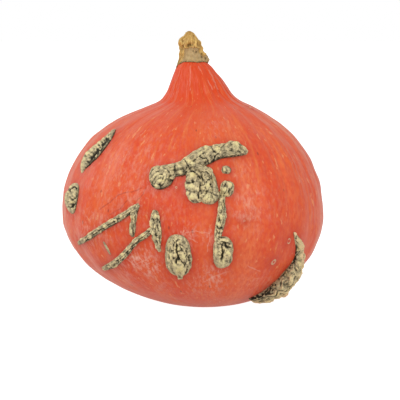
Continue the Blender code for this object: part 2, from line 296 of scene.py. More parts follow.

# %% Places where the rind's colour differs
# Where the skin stayed more orange, and at -66 degrees, in front on the right, also a painted highlight:
# direction and spread in degrees, strength
ORANGE_BANDS = [
    (-66, 7, 0.8), (-43, 5, 0.4), (-84, 5, 0.4), (-132, 4, 0.3), (-116, 3, 0.3), (-152, 6, 0.3),
    (-15, 8, 0.4), (14, 7, 0.7), (45, 9, 0.5), (77, 6, 0.9), (104, 8, 0.5), (135, 7, 0.8), (165, 9, 0.5),
]
SHOULDER_FADES_IN = (78, 104)
SHOULDER_FADES_OUT = (138, 152)

bands = sum(
    strength * bell(away_from(angle, direction), 0, spread) for direction, spread, strength in ORANGE_BANDS
)
shoulder_share = ramp(height, *SHOULDER_FADES_IN) * (1 - ramp(height, *SHOULDER_FADES_OUT))
keep_values(skin, "orange_band", bands * (1 - neck))
keep_values(skin, "shoulder", shoulder_share)
print(len(ORANGE_BANDS), "orange bands")

# %% [markdown]
# ## The blossom end
# Under the squash, in the middle of its flat spot, is the small round scar that the blossom left. It is a
# shallow dimple with a corky button in it. The flat spot itself must stay flat, so the dimple goes inward.

# %% Press in the blossom scar
BLOSSOM_RADIUS = 6.5
BLOSSOM_DEPTH = 1.6
BLOSSOM_CORK_FADES_OUT = (5, 7.5)
BUTTON_RADIUS = 2.2
BUTTON_HEIGHT = 0.9

points = points_of(skin)
underneath = flat_spot & (radius < BLOSSOM_RADIUS)
hollow = BLOSSOM_DEPTH * (1 - (radius / BLOSSOM_RADIUS) ** 2) - BUTTON_HEIGHT * bell(radius, 0, BUTTON_RADIUS)
points[underneath, 2] += hollow[underneath]
move_points(skin, points)
corky = 1 - ramp(radius, *BLOSSOM_CORK_FADES_OUT)
keep_values(skin, "blossom", np.where(flat_spot, corky, 0))
print("blossom scar of", int(underneath.sum()), "points, at most", round(float(hollow.max()), 2), "mm deep")

# %% [markdown]
# ## Cork scars
# Each scar is a ridge of cork that healed over a scratch. It starts as a ball whose rings are spread along
# the scratch's route, laid on the rind and sunk a little into it, with its edges hanging over as real cork
# does. Where ridges meet they grow into one another, which gives the creases between them. The routes follow
# the solid's own to a millimetre or two, and the mesh here is fine enough for wrinkles of half a millimetre.

# %% Routes of the scars: across, up, half width, height above the rind
SCAR_ROUTES = {
    "shoulder_strip": [
        (-50.2, 113.8, 1.4, 1), (-51.4, 112.4, 2.2, 1.4), (-54.4, 108.6, 4.6, 2.2), (-58.5, 103.9, 6.4, 2.7),
        (-62.8, 99.2, 7.6, 3), (-66.9, 94.6, 7.8, 3), (-69.6, 90.4, 5.8, 2.4), (-71.1, 87.3, 2.6, 1.4),
        (-71.9, 84.8, 0.9, 0.7),
    ],
    "side_ring": [
        (-76.4, 79.6, 7, 1.9), (-77.1, 76, 9, 2.5), (-78.3, 70, 10.2, 2.8), (-79.9, 64.4, 10.6, 2.5),
        (-81.2, 59.4, 10, 1.9),
    ],
    "slanting_stroke": [
        (-34.4, 64.8, 1.2, 1.2), (-39.8, 60.7, 1.8, 1.8), (-49.4, 54.8, 2.1, 2.2), (-58.5, 49.2, 1.9, 2),
        (-67.7, 43.3, 1.9, 1.9), (-75.2, 39, 1.2, 1.1),
    ],
    "short_stroke": [
        (-35.2, 64.4, 1.4, 1.2), (-37.4, 60.8, 2, 2), (-38.2, 55, 1.9, 2), (-39, 48.8, 2, 2),
        (-39.2, 43, 1.4, 1.4),
    ],
    "spindle": [
        (-24.4, 61.5, 1.4, 1), (-24.4, 57.5, 2.5, 2), (-24, 50.5, 3.3, 2.6), (-23.3, 43.5, 3, 2.4),
        (-22.5, 37.5, 1.7, 1.6), (-21, 33.4, 0.5, 0.5),
    ],
    "branch_stroke": [
        (-25.5, 49, 1.8, 1.4), (-31.5, 44.2, 1.9, 1.9), (-37, 40.3, 1.8, 1.9), (-43.2, 33.4, 2, 2),
        (-49.7, 26.8, 2.2, 2.1), (-55, 23.8, 2.1, 1.8), (-59.2, 22.2, 1.4, 1.2),
    ],
    "large_oval": [
        (-9.3, 45.4, 5.4, 2.6), (-9.5, 39, 7.2, 3.5), (-9.2, 31, 8.3, 3.8), (-8.9, 23.5, 7.5, 3.5),
        (-8.6, 17.2, 5, 2.6),
    ],
    "large_oval_nub": [(-8.4, 20.5, 2.2, 2.4), (-7.9, 15.4, 1.8, 1.6)],
    "small_oval": [
        (19.6, 44.2, 4.2, 2.4), (19.8, 39, 5.8, 3), (19.8, 33, 6.3, 3.2), (19.6, 27.4, 5.5, 2.9),
        (19.3, 22.4, 4, 2.2),
    ],
    "knob": [(22.1, 80.4, 3.2, 2.6), (22.3, 75, 4.2, 3.2), (22.4, 69.4, 2.9, 2.4)],
    "hanging_stroke": [
        (18.8, 74, 1.6, 1.8), (19, 68, 1.9, 2.2), (19, 60, 2.5, 2.4), (18.2, 53.1, 2.8, 2.5),
        (16.8, 46.5, 2.5, 2.3), (16.2, 40, 1.7, 1.6),
    ],
    "dot": [(21.9, 90.3, 3, 2), (21.9, 84.3, 3, 2)],
    "slanting_bar": [
        (-28.2, 79.6, 7.4, 3.4), (-24, 81.2, 8, 3.8), (-19, 83, 7.6, 4), (-12.6, 86.7, 4.8, 3.3),
        (-5.6, 88.3, 4.9, 3.4), (2.3, 93, 5.8, 4), (10.1, 97, 6, 4), (18, 99, 5, 3.4),
        (27.2, 100.5, 5.2, 3.6), (32.6, 99.4, 3.6, 2.6), (36, 98, 1.4, 1.2),
    ],
    "left_lobe": [
        (1.2, 89.5, 3.6, 3), (0.9, 83.4, 4.8, 4), (1.1, 77, 5.3, 4.6), (2.8, 69.5, 5, 4),
        (4, 65.4, 3.6, 2.6),
    ],
    "right_lobe": [
        (4.4, 90, 3, 2.6), (7.2, 84.6, 3.4, 3.4), (9.4, 78, 4.8, 4), (10.4, 71.5, 6.2, 4.6),
        (9.9, 64.4, 5.6, 3.4),
    ],
    "crossing_strand": [
        (-14, 85.7, 1.4, 4), (-8.2, 87.3, 2, 4.8), (-2.3, 88.6, 2.2, 5.4), (2.9, 87.8, 2.2, 5.9),
        (7.5, 85, 2.1, 5.8), (11.2, 82, 1.6, 5),
    ],
    "outer_strand": [
        (7.4, 89, 1.2, 3.6), (10.4, 85.4, 1.8, 4.4), (13, 81, 1.9, 4.2), (14.2, 76.1, 1.8, 3.8),
        (15.6, 71.5, 1.4, 2.8),
    ],
    "crescent": [
        (65.9, 46.6, 0.3, 0.3), (68, 42, 1.9, 1.5), (69.2, 37.2, 2.8, 2.3), (69, 31.4, 4.1, 3.6),
        (67, 26.2, 5.6, 5.8), (63.3, 20.9, 6.6, 8), (59, 15.8, 6.4, 9.6), (54.2, 11.2, 6.2, 9.6),
        (48, 7, 5.6, 8.8), (41.7, 3.8, 4.4, 5.6), (36.6, 2.1, 2.4, 2),
    ],
    "flat_scratch": [(-58.5, 40.9, 0.9, 0.35), (-56, 36, 1.35, 0.6), (-53.4, 31.2, 0.9, 0.35)],
}
# Scars with a sunken middle, with the part of their height that it loses, and scars that bulge sideways
SUNKEN = {"shoulder_strip": 0.3, "side_ring": 0.35, "spindle": 0.3, "large_oval": 0.35, "small_oval": 0.4}
OUTWARD = {"crescent": 0.8}
print(len(SCAR_ROUTES), "routes")

# %% [markdown]
# ## Wrinkles of the cork
# Cork shrinks as it dries and splits into long folds that follow the scar, with shorter ones across it. A
# smooth noise is zero along winding lines, so a narrow trench cut wherever it is near zero draws folds that
# wander, meet and fade as real ones do. The noise is stretched along the ridge, and bent so that no fold is
# straight. The folds, the lines of painted shade and the knobs that anyone would know this squash by are
# placed after that.

# %% Folds, knobs and grain by chance
LONG_FOLD = (6, 2.8)     # spacing along and across the ridge in millimetres
SHORT_FOLD = (2.3, 2)
FOLD_PRESS = (0.6, 0.3)
FOLD_SHARPNESS = (0.13, 0.1)
UNFOLDED = 0.25          # the surface between two folds rises by this share of their depth
BEND = 1.4
BEND_SPACING = 5
FADE_SPACING = (5, 4)
FADE_RANGE = (-0.35, 0.3)
FADED = 0.4              # the share of its depth that a long fold keeps where it fades
LUMP_SPACING = (3.4, 3)
LUMP_HEIGHT = 1.3
GRAIN_SPACING = 0.75
GRAIN_HEIGHT = 0.3


def folds_of(noise_value, sharpness):
    """How far down in a fold each place is: 1 where the noise is zero, less and less beside it."""
    return np.exp(-np.abs(noise_value) / sharpness)


def cork_relief(along, across, seed, folded=1, coarse=1):
    """Height of the cork's relief in millimetres."""
    bend = BEND * noise_at(along / BEND_SPACING, across / BEND_SPACING, seed + 7)
    long_place = (along / LONG_FOLD[0], (across + bend) / LONG_FOLD[1])
    short_place = ((along + bend) / SHORT_FOLD[0], across / SHORT_FOLD[1])
    long_fold = folds_of(noise_at(*long_place, seed), FOLD_SHARPNESS[0])
    short_fold = folds_of(noise_at(*short_place, seed + 20), FOLD_SHARPNESS[1])
    patchy = noise_at(along / FADE_SPACING[0], across / FADE_SPACING[1], seed + 40)
    fade = FADED + (1 - FADED) * ramp(patchy, *FADE_RANGE)
    lump = noise_at(along / LUMP_SPACING[0], across / LUMP_SPACING[1], seed + 60)
    grain = noise_at(along / GRAIN_SPACING, across / GRAIN_SPACING, seed + 80)
    pressed = FOLD_PRESS[0] * (UNFOLDED - long_fold) * fade + FOLD_PRESS[1] * (UNFOLDED - short_fold)
    return folded * pressed + coarse * (LUMP_HEIGHT * lump + GRAIN_HEIGHT * grain)


# %% Placed folds: half width, depth, and the route seen on the upright plane
FOLDS = [
    (0.7, 1.8, [(-1.6, 87), (1.6, 86), (4.3, 84), (5.6, 82.1), (6.2, 78.8), (5.2, 75.5), (3.9, 68.9)]),
    (0.7, 1.6, [(-13.4, 80.4), (-10.1, 80.8), (-6.2, 81.7), (-3.3, 84.4)]),
    (0.5, 1.1, [(-4.9, 93.6), (-3.6, 91.6), (-2.6, 89.3)]),
    (0.6, 1.2, [(12.1, 103.4), (13.1, 101.1), (14.7, 99.2)]),
    (0.9, 0.9, [(18.6, 102.1), (20.6, 104.4), (22.6, 106.4)]),
    (0.5, 1.1, [(4.9, 96.5), (6.9, 95.2), (9.2, 94.9), (10.5, 92.6), (10.1, 90)]),
    (0.6, 1.2, [(14.6, 92.6), (17.3, 94.2), (21.9, 94.4), (25.8, 95), (30.4, 95.6), (34, 96.6)]),
    (0.5, 0.9, [(14.4, 94), (15.4, 97), (17.4, 98.6), (17, 101)]),
    (0.4, 0.6, [(23.2, 102.1), (25.2, 101.5), (27.1, 102.1)]),
    (0.35, 0.6, [(-29, 83), (-26, 87.4), (-21, 89.2), (-17, 87.8), (-14.8, 85), (-15.4, 81)]),
    (0.3, 0.5, [(-27.8, 80), (-25.8, 84.2), (-21.6, 87), (-18, 86), (-17, 83), (-18.2, 79.4), (-21, 76)]),
    (0.3, 0.55, [(-26.8, 77.6), (-25, 81.4), (-21.8, 84.4), (-19.2, 84), (-19.6, 81), (-22, 77.6)]),
    (0.3, 0.5, [(-25.2, 78), (-23, 81), (-20.9, 82.4)]),
    (0.4, 0.7, [(-11.8, 90.6), (-11.4, 87.3), (-12.4, 83.4)]),
    (0.5, 0.8, [(-5.6, 80.4), (-2.3, 78.8), (1.6, 79.8)]),
    (0.5, 0.7, [(-3.9, 74.5), (-1, 72.9), (2.3, 73.2)]),
    (0.5, 1.2, [(8.6, 86.2), (11, 82.8), (12, 79.4), (12.6, 75.5), (14.2, 71)]),
    (0.4, 0.8, [(6.9, 76.8), (8.8, 79.4), (11.4, 81.7)]),
    (0.35, 0.6, [(5.9, 71.5), (7.8, 74.6), (9.4, 78.6)]),
    (0.35, 0.6, [(6.9, 69.5), (10, 73.5), (11.8, 78)]),
    (0.35, 0.5, [(8.6, 67), (12.2, 71), (13.6, 75)]),
    (0.4, 0.5, [(-8.2, 90.4), (-4.3, 90.6), (0.3, 90.9), (4.9, 90.2), (8.2, 88)]),
    (0.35, 0.5, [(-1.6, 91.9), (2.3, 94.9), (7.5, 98.8)]),
    (0.6, 0.7, [(19.5, 89), (19.3, 86.7), (20.3, 84.7)]),
    (0.7, 1.4, [(17.9, 76.8), (17.3, 73.5), (18.3, 69.6)]),
    (0.35, 0.6, [(21.3, 78.4), (22.6, 75.5), (21.3, 72.2)]),
    (0.5, 0.9, [(18.2, 66.3), (19.6, 63), (18.8, 59.7)]),
    (0.5, 0.9, [(18.3, 59.1), (17.3, 55.1), (16.4, 51.2)]),
    (0.9, 1.5, [(16, 49.5), (17.7, 48.5), (19.6, 49.2)]),
    (0.7, 1.2, [(15.7, 47.2), (17.3, 45.2)]),
    (0.5, 1, [(17, 43.6), (18.6, 42.6), (20.6, 42.9)]),
    (0.8, 2.4, [(22.6, 36.7), (21.6, 39), (19.8, 38), (19.3, 35.4), (19.8, 32.1), (19.4, 28.8)]),
    (0.8, 1.6, [(22.2, 38), (22.6, 36)]),
    (0.8, 2.2, [(-10.9, 40.3), (-10.8, 36.7), (-10.6, 33.4), (-9.8, 29.5), (-10.8, 26.5)]),
    (0.5, 1.3, [(-9.2, 28.5), (-7.5, 26.8), (-5.6, 24.9)]),
    (1, 1.3, [(-6.9, 34.4), (-6.2, 33.7)]),
    (0.6, 1.1, [(-2, 30.8), (-2.3, 27.8)]),
    (0.7, 1.1, [(-3.3, 21.2), (-4.3, 19.3)]),
    (0.6, 0.8, [(-13.4, 39), (-12.4, 37.4)]),
    (0.35, 0.6, [(-14.1, 37.4), (-15.4, 33.4), (-15, 28.8), (-13.4, 25.5)]),
    (0.35, 0.6, [(-8.8, 38), (-5.6, 36.4), (-3.6, 32.8), (-3.6, 28.1), (-5.2, 24.2)]),
    (0.3, 0.4, [(-12.8, 34.7), (-12.8, 30.1), (-12.1, 26.2)]),
    (0.8, 0.9, [(-25.8, 54.1), (-25.6, 51.5)]),
    (0.9, 1, [(-22.6, 54.4), (-22.2, 50.8)]),
    (0.35, 0.5, [(-24.2, 50.5), (-23.9, 45.2), (-23.1, 39.3)]),
    (0.6, 1.1, [(-20.9, 58.4), (-20.3, 53.1), (-20.3, 46.6), (-21.1, 40)]),
    (0.45, 0.9, [(-28.4, 46.6), (-33.7, 42), (-38.9, 37.4), (-44.1, 32.1), (-49.4, 27.5)]),
    (0.35, 0.7, [(-27.5, 43.9), (-32.4, 40), (-37.6, 35.1), (-42.8, 29.8)]),
    (0.8, 0.9, [(-49.7, 27.2), (-48.7, 26.5)]),
    (0.7, 0.8, [(-55.9, 24.5), (-54.6, 23.9)]),
    (0.35, 0.6, [(-37.6, 62), (-44.1, 57.7), (-52, 52.8), (-60.5, 47.5), (-69, 42.3)]),
    (0.8, 1, [(-50, 55.4), (-48.7, 54.6)]),
    (0.8, 0.9, [(-62.5, 47.5), (-61.1, 46.9)]),
    (0.7, 0.9, [(-70.6, 42.6), (-69.3, 42.3)]),
    (0.35, 0.6, [(-37.9, 60.4), (-39.6, 55.1), (-39.6, 48.5)]),
    (0.7, 1, [(-40.5, 53.1), (-39.9, 51.2)]),
    (0.7, 0.9, [(-38.9, 45.9), (-38.9, 43.9)]),
    (1.3, 1.6, [(-55.4, 108.2), (-56.9, 107), (-59.8, 102.4), (-62.5, 99.2), (-66.4, 94.6), (-68, 92.9)]),
    (0.3, 0.5, [(-57.9, 107.4), (-63.1, 102.1), (-67.7, 97.5)]),
    (0.7, 2, [(-81, 73.6), (-79.6, 75.8), (-77.9, 76.4), (-76.6, 75.2), (-76.3, 72), (-77.6, 64.4)]),
    (1, 1.6, [(-78.4, 68.6), (-78.7, 66.2), (-79, 63.4)]),
    (0.3, 0.5, [(-82.1, 71.6), (-82.3, 67.2), (-81.6, 63)]),
    (0.7, 1, [(67.4, 42), (67.6, 36), (67, 31), (65, 26), (61.6, 21.4), (57.6, 16.8)]),
]
print(len(FOLDS), "folds are placed by hand")

# %% Lines of painted shade along folds and the crescent's edges: half width, strength, and the route seen on the upright plane
PAINTED_SHADE_LINES = [
    (1.3, 0.9, [(67, 36.4), (67.3, 32.4), (66.6, 29), (65.4, 26.6)]),
    (1.5, 0.8, [(54, 11), (51, 8), (47.4, 5.4), (43, 3.6), (39, 2.6)]),
    (1.5, 0.35, [(64.4, 24), (60.6, 19.4), (56, 14)]),
    (1.4, 0.8, [(-55.6, 108.4), (-57.4, 106), (-60.4, 101.6), (-63.4, 98), (-66.4, 94.6), (-67.8, 92.8)]),
    (0.8, 0.9, [(-78.4, 68.6), (-78.7, 66), (-79, 63)]),
    (0.6, 0.4, [(-81, 73.6), (-79.6, 75.8), (-77.9, 76.4), (-76.6, 75.2), (-76.3, 72), (-77.6, 64.4)]),
]
print(len(PAINTED_SHADE_LINES), "stains are placed by hand")

# %% Placed knobs: across, up, radius, height
KNOBS = [
    (28.1, 103.8, 2.3, 0.7), (16.7, 101.1, 1.8, 0.6), (-0.3, 91.9, 1.8, 0.5), (8.8, 101.8, 1.6, 0.3),
    (0.3, 84.4, 2, 0.8), (-1.3, 76.5, 2.2, 0.8), (-0.3, 69.6, 2, 0.6), (10.1, 68.9, 3, 0.9),
    (10.1, 76.8, 1.8, 0.6), (-20.6, 81.4, 3, 0.4), (-23.9, 76.8, 1.6, 0.4),
    (-7.5, 86, 1.6, 0.4), (20.9, 87.3, 1.3, 0.4), (24.5, 77.5, 1.4, 0.5), (21.3, 74.2, 2, 0.4),
    (18.8, 63, 1.4, 0.4), (19, 56.4, 1.6, 0.4), (17.3, 51.8, 1.5, 0.5), (-7.8, 21.6, 2.8, 0.6),
    (-14.7, 31.4, 1.6, 0.4), (-5.6, 30.1, 1.8, 0.4), (-9.5, 35.4, 1.4, 0.4), (23.5, 32.8, 1.8, 0.4),
    (16, 33.4, 1.8, 0.4), (19.9, 26.5, 2, 0.3), (-23.9, 57.1, 1.4, 0.4), (-69, 98.5, 1.6, 0.4),
    (-8.4, 89.6, 1.5, 0.3), (-3.4, 93.4, 2, 0.4), (4.4, 98.6, 1.6, 0.3), (-4.4, 72, 1.5, 0.4),
    (-47, 56.4, 1.3, 0.4), (-57.6, 50.2, 1.3, 0.4), (-32.6, 44.2, 1.2, 0.3),
    (-45.6, 31.4, 1.3, 0.4), (-11.4, 24, 1.8, 0.4),
]
print(len(KNOBS), "knobs are placed by hand")


# %% Press the placed folds and raise the placed knobs
def seen_at(points):
    """Where each point is seen on the upright plane through the axis: across and up."""
    away = points - np.array(eye)
    return (np.array(eye) - away * (eye.y / away[:, 1])[:, None])[:, [0, 2]]


def distance_to(line, places):
    """Distance from each place to the nearest part of the line."""
    nearest = np.full(len(places), np.inf)
    for start, end in zip(line, line[1:]):
        run = end - start
        share = np.clip((places - start) @ run / (run @ run), 0, 1)
        nearest = np.minimum(nearest, np.linalg.norm(places - start - share[:, None] * run, axis=1))
    return nearest


FOLD_SLOPE = 1.25
KNOB_RISE = 1.7
ROUTE_STEPS = 4
FRAY_SPACING = 1.3
SHADE_LINE_BREAKS = (-0.35, 0.05)


def placed_relief(points):
    """Height of the placed folds and knobs, how far up on a knob each point is, for its painted highlight,
    and how much painted shade the placed lines give it.
    """
    places = seen_at(points)
    relief = np.zeros(len(points))
    painted_highlight = np.zeros(len(points))
    painted_line_shade = np.zeros(len(points))
    low, high = places.min(axis=0), places.max(axis=0)
    frayed = noise_at(places[:, 0] / FRAY_SPACING, places[:, 1] / FRAY_SPACING, 0.5)
    for half_width, depth, route in FOLDS:
        line = smooth_line(route, ROUTE_STEPS)
        if (line.max(axis=0) < low).any() or (line.min(axis=0) > high).any():
            continue
        pressed = np.exp(-distance_to(line, places) / (FOLD_SLOPE * half_width * (1 + frayed)))
        relief -= depth * pressed
    for across, up, radius, height in KNOBS:
        raised = bell(np.hypot(places[:, 0] - across, places[:, 1] - up), 0, radius)
        relief += KNOB_RISE * height * raised
        # The tops of the knobs get a painted highlight.
        painted_highlight = np.maximum(painted_highlight, raised)
    # Lines of painted shade, broken up by noise.
    for half_width, strength, route in PAINTED_SHADE_LINES:
        stain = strength * bell(distance_to(smooth_line(route, ROUTE_STEPS), places), 0, half_width)
        painted_line_shade = np.maximum(painted_line_shade, stain * ramp(frayed, *SHADE_LINE_BREAKS))
    return relief, painted_highlight, painted_line_shade


# %% [markdown]
# ## Laying a scar on the rind
# Round its section, a scar rises from an overhanging edge to a rounded or sunken top, and below the edge it
# closes inside the flesh. Most of the points go to the side that is seen. The relief moves them along the
# section's own slope, so the wrinkles wrap round the edge as well.

# %% How the scars differ
# How strongly a scar is folded, and how coarse its lumps are, where it isn't like the rest
FOLDED = {
    "slanting_bar": 0.4, "left_lobe": 0.5, "right_lobe": 0.5, "crossing_strand": 0.1, "outer_strand": 0.2,
    "large_oval": 0.35, "small_oval": 0.3, "crescent": 0.25, "side_ring": 0.05, "shoulder_strip": 0.3,
}
COARSE = {
    "crescent": 1.2, "slanting_bar": 0.75, "left_lobe": 0.85, "right_lobe": 0.85, "crossing_strand": 0.3,
    "shoulder_strip": 0.15, "large_oval": 0.6, "small_oval": 0.5, "side_ring": 0.12, "outer_strand": 0.4,
}
# Where a scar gets a painted highlight along the side that light falls on: how far across it, how wide, how
# strongly
LIT_SIDE = {"crescent": (-0.3, 0.5, 0.9), "shoulder_strip": (0.45, 0.45, 0.7), "side_ring": (0.6, 0.4, 0.3)}
HIGHLIGHT_OPEN = 0.12    # how much less painted shade its hollows get under that painted highlight
# Scars whose painted highlight is peach, the light thrown up from the floor
PEACH_HIGHLIGHT_SHARE = {"crescent": 1.0}
print(len(FOLDED), "scars have their own folds,", len(COARSE), "their own lumps")


# %% Find places on the rind
def on_rind(across, up, behind=False):
    """The place on the rind, and its slope, seen at this point of the upright plane through the axis."""
    viewer = Vector((eye.x, -eye.y if behind else eye.y, eye.z)) * MM
    aim = Vector((across, 0, up)) * MM
    _, place, slope, _ = skin.ray_cast(viewer, (aim - viewer).normalized())
    return place / MM, slope


def nearest_rind(place):
    """The nearest place on the rind, and its slope."""
    _, found, slope, _ = skin.closest_point_on_mesh(place * MM)
    return found / MM, slope


# %% Sections of a scar
SCAR_ROOT = 2.2              # how deep a section reaches into the flesh, in millimetres
SCAR_OVERHANG = 0.3
SUNKEN_WIDTH = 0.4
SEEN_SHARE = 5 / 6           # share of a section's points that lie on its seen side
SEEN_FROM = -0.5


def section_turns(count):
    """Angles round a section, most of them over the side that is seen."""
    share = np.arange(count) / count
    seen_end = math.pi - SEEN_FROM
    under_end = math.tau + SEEN_FROM
    return np.where(
        share < SEEN_SHARE,
        SEEN_FROM + (seen_end - SEEN_FROM) * share / SEEN_SHARE,
        seen_end + (under_end - seen_end) * (share - SEEN_SHARE) / (1 - SEEN_SHARE),
    )


def lift(height, turn, middle_loss):
    """Height over the rind at this turn round a ridge's section, in millimetres."""
    rise = math.sin(turn)
    if rise < 0:
        return SCAR_OVERHANG * height + rise * (SCAR_OVERHANG * height + SCAR_ROOT)
    sunk = 1 - middle_loss * math.exp(-((math.cos(turn) / SUNKEN_WIDTH) ** 2))
    return height * (SCAR_OVERHANG + (1 - SCAR_OVERHANG) * rise * sunk)


# %% Place the points of a scar
KNOB_SPACING = 5
KNOB_WIDTH_SHARE = 0.1
KNOB_HEIGHT_SHARE = 0.3
SECTION_LENGTH = 0.8         # length of each radian round a section, in shares of half width plus height
SUNK_FROM_END = (0.3, 1.3)   # where the sunken middle starts and is whole, in half widths from the end
SHADED_SIDE = (0.6, 0, -0.8)   # the way that the sides of ridges with painted shade face, away from the key light


def scar_grid(name, turns, rings):
    """Each point of a scar with its slope, its place on the ridge, its height and how far its side faces away
    from the light, for its painted shade.
    """
    line = smooth_line(SCAR_ROUTES[name])
    length = lengths_along(line)[-1]
    line = evenly(line, rings + 1)
    middles = [on_rind(across, up)[0] for across, up, _, _ in line]
    knobby = COARSE.get(name, 1)
    found = []
    for ring, (_, _, half_width, height) in enumerate(line):
        middle = middles[ring]
        along = (middles[min(ring + 1, rings)] - middles[max(ring - 1, 0)]).normalized()
        side = along.cross(nearest_rind(middle)[1]).normalized()
        end = length * min(ring, rings - ring) / rings
        share = math.sqrt(1 - (1 - min(end / half_width, 1)) ** 2)
        sunk_start, sunk_whole = (share_of * half_width for share_of in SUNK_FROM_END)
        middle_loss = SUNKEN.get(name, 0) * float(ramp(end, sunk_start, sunk_whole))
        for turn in turns:
            knob = knobby * noise.noise((middle + side * half_width * math.cos(turn)) / KNOB_SPACING)
            width = half_width * (1 + KNOB_WIDTH_SHARE * knob) * share
            tall = height * (1 + KNOB_HEIGHT_SHARE * knob)
            foot, slope = nearest_rind(middle + side * width * math.cos(turn))
            outward = Vector((foot.x, foot.y, 0)).normalized()
            upward = (slope + outward * OUTWARD.get(name, 0)).normalized()
            rise = lift(tall, turn, middle_loss) * share - (1 - share) * SCAR_ROOT / 2
            facing = (side * tall * math.cos(turn) + upward * half_width * math.sin(turn)).normalized()
            round_ridge = (half_width + tall) * (turn - math.pi / 2) * SECTION_LENGTH
            place = foot + upward * rise
            # How far the side faces away from the light sets its painted shade.
            away_from_light = (facing - upward).dot(Vector(SHADED_SIDE)) * (1 - OUTWARD.get(name, 0))
            found.append((*place, *facing, ring * length / rings, round_ridge, rise, share, turn, away_from_light))
    return np.array(found)


# %% Find the hollows of a scar, which get painted shade
HOLLOWS = [(2, 0.75), (5, 0.6)]    # reach in steps of the mesh, and how much painted shade such a hollow gets
RISE_SHARE = 0.3
# Painted shade that every point starts with, and the least that the foot of a scar gets
EVEN_SHADE = 0.43
FOOT_SHADE = 0.8


def softened(table, reach):
    """The table of heights, each replaced by the mean of those around it."""
    for axis in (0, 1):
        table = sum(np.roll(table, step, axis) for step in range(-reach, reach + 1)) / (2 * reach + 1)
    return table


def hollows(height, ring, side):
    """How far down in a hollow each point is, judged by the mean height around it."""
    table = np.zeros((ring.max() + 1, side.max() + 1))
    table[ring, side] = height
    depth = EVEN_SHADE + sum(weight * (softened(table, reach) - table) for reach, weight in HOLLOWS)
    return depth[ring, side]


# %% Add a ball with a ring for each place along a scar
RING_PITCH = 0.36
SIDE_PITCH = 0.3
SECTION_SHARE = 2.6    # the seen part of a section, in shares of the scar's half width plus height
SIDES_STEP = 12


def add_ball(name):
    """A ball for this scar, its counts of rings and sides, and the ring and side of each of its points."""
    line = smooth_line(SCAR_ROUTES[name])
    rings = max(SIDES_STEP, round(lengths_along(line)[-1] / RING_PITCH))
    section = SECTION_SHARE * (line[:, 2].max() + line[:, 3].max()) / SEEN_SHARE
    sides = max(2 * SIDES_STEP, round(section / SIDE_PITCH / SIDES_STEP) * SIDES_STEP)
    bpy.ops.object.select_all(action="DESELECT")
    bpy.ops.mesh.primitive_uv_sphere_add(segments=sides, ring_count=rings, radius=1)
    ball = bpy.context.object
    ball.name = name
    places = points_of(ball) * MM
    ring = np.rint(np.arccos(np.clip(places[:, 2], -1, 1)) / math.pi * rings).astype(int)
    side = np.rint(np.arctan2(places[:, 1], places[:, 0]) / math.tau * sides).astype(int) % sides
    return ball, rings, sides, ring, side


# %% Build a scar
FULL_HEIGHT = 2.6       # a scar as high as this has lumps of full height
FOLDED_ELSEWHERE = 0.6
SIDE_SHARE = 0.35       # less relief on the upright sides of a ridge, or its outline would look frayed
RELIEF_BEGINS = (-0.6, 0.5)
LEAST_RISE = 0.35
LOWEST = 0.4
TOP_BEGINS = (0, 0.7)    # 0 is the side of the ridge and 1 its top
FOOT_SPACING = 3
FOOT_HEIGHT = 0.8
FOOT_UNEVENNESS = 0.5
SHADED_SIDE_SHARE = 0.32


def make_scar(name, seed):
    """A ridge of wrinkled cork along its route."""
    scar, rings, sides, ring, side = add_ball(name)
    grid = scar_grid(name, section_turns(sides), rings)[ring * sides + side]
    points, facing = grid[:, :3], grid[:, 3:6]
    along, round_ridge, rise, share, turn, away_from_light = grid[:, 6:].T
    highest = smooth_line(SCAR_ROUTES[name])[:, 3].max()
    coarse = COARSE.get(name, min(1, highest / FULL_HEIGHT))
    folded = FOLDED.get(name, FOLDED_ELSEWHERE) * min(1, coarse)
    placed, painted_highlight, painted_line_shade = placed_relief(points)
    on_top = SIDE_SHARE + (1 - SIDE_SHARE) * ramp(np.sin(turn), *TOP_BEGINS)
    showing = ramp(rise, *RELIEF_BEGINS) * np.sqrt(share) * on_top
    relief = (cork_relief(along, round_ridge, seed, folded, coarse) + placed) * showing
    moved = np.maximum(relief, np.minimum(0, LEAST_RISE - rise))
    points = points + facing * moved[:, None]
    points[:, 2] = np.maximum(points[:, 2], LOWEST)
    move_points(scar, points)
    # The foot of a scar, its side away from the light and its hollows are darkened with painted shade.
    uneven = FOOT_UNEVENNESS * noise_at(along / FOOT_SPACING, round_ridge / FOOT_SPACING, seed + 90)
    foot = 1 - ramp(rise, 0, FOOT_HEIGHT + uneven)
    painted_shade = hollows(moved + RISE_SHARE * rise, ring, side) + SHADED_SIDE_SHARE * np.maximum(away_from_light, 0)
    # A side that light falls on gets a painted highlight and less painted shade.
    if name in LIT_SIDE:
        across, spread, strength = LIT_SIDE[name]
        lit_side_highlight = strength * bell(np.cos(turn), across, spread)
        painted_highlight = np.maximum(painted_highlight, lit_side_highlight)
        painted_shade -= HIGHLIGHT_OPEN * lit_side_highlight
        keep_values(scar, "peach_highlight", np.full(len(points), PEACH_HIGHLIGHT_SHARE.get(name, 0.0)))
    painted_shade = np.clip(np.maximum(painted_shade + painted_line_shade, FOOT_SHADE * foot), 0, 1)
    keep_values(scar, "painted_shade", painted_shade)
    keep_values(scar, "painted_highlight", painted_highlight * (1 - painted_shade))
    face_outward()
    return scar


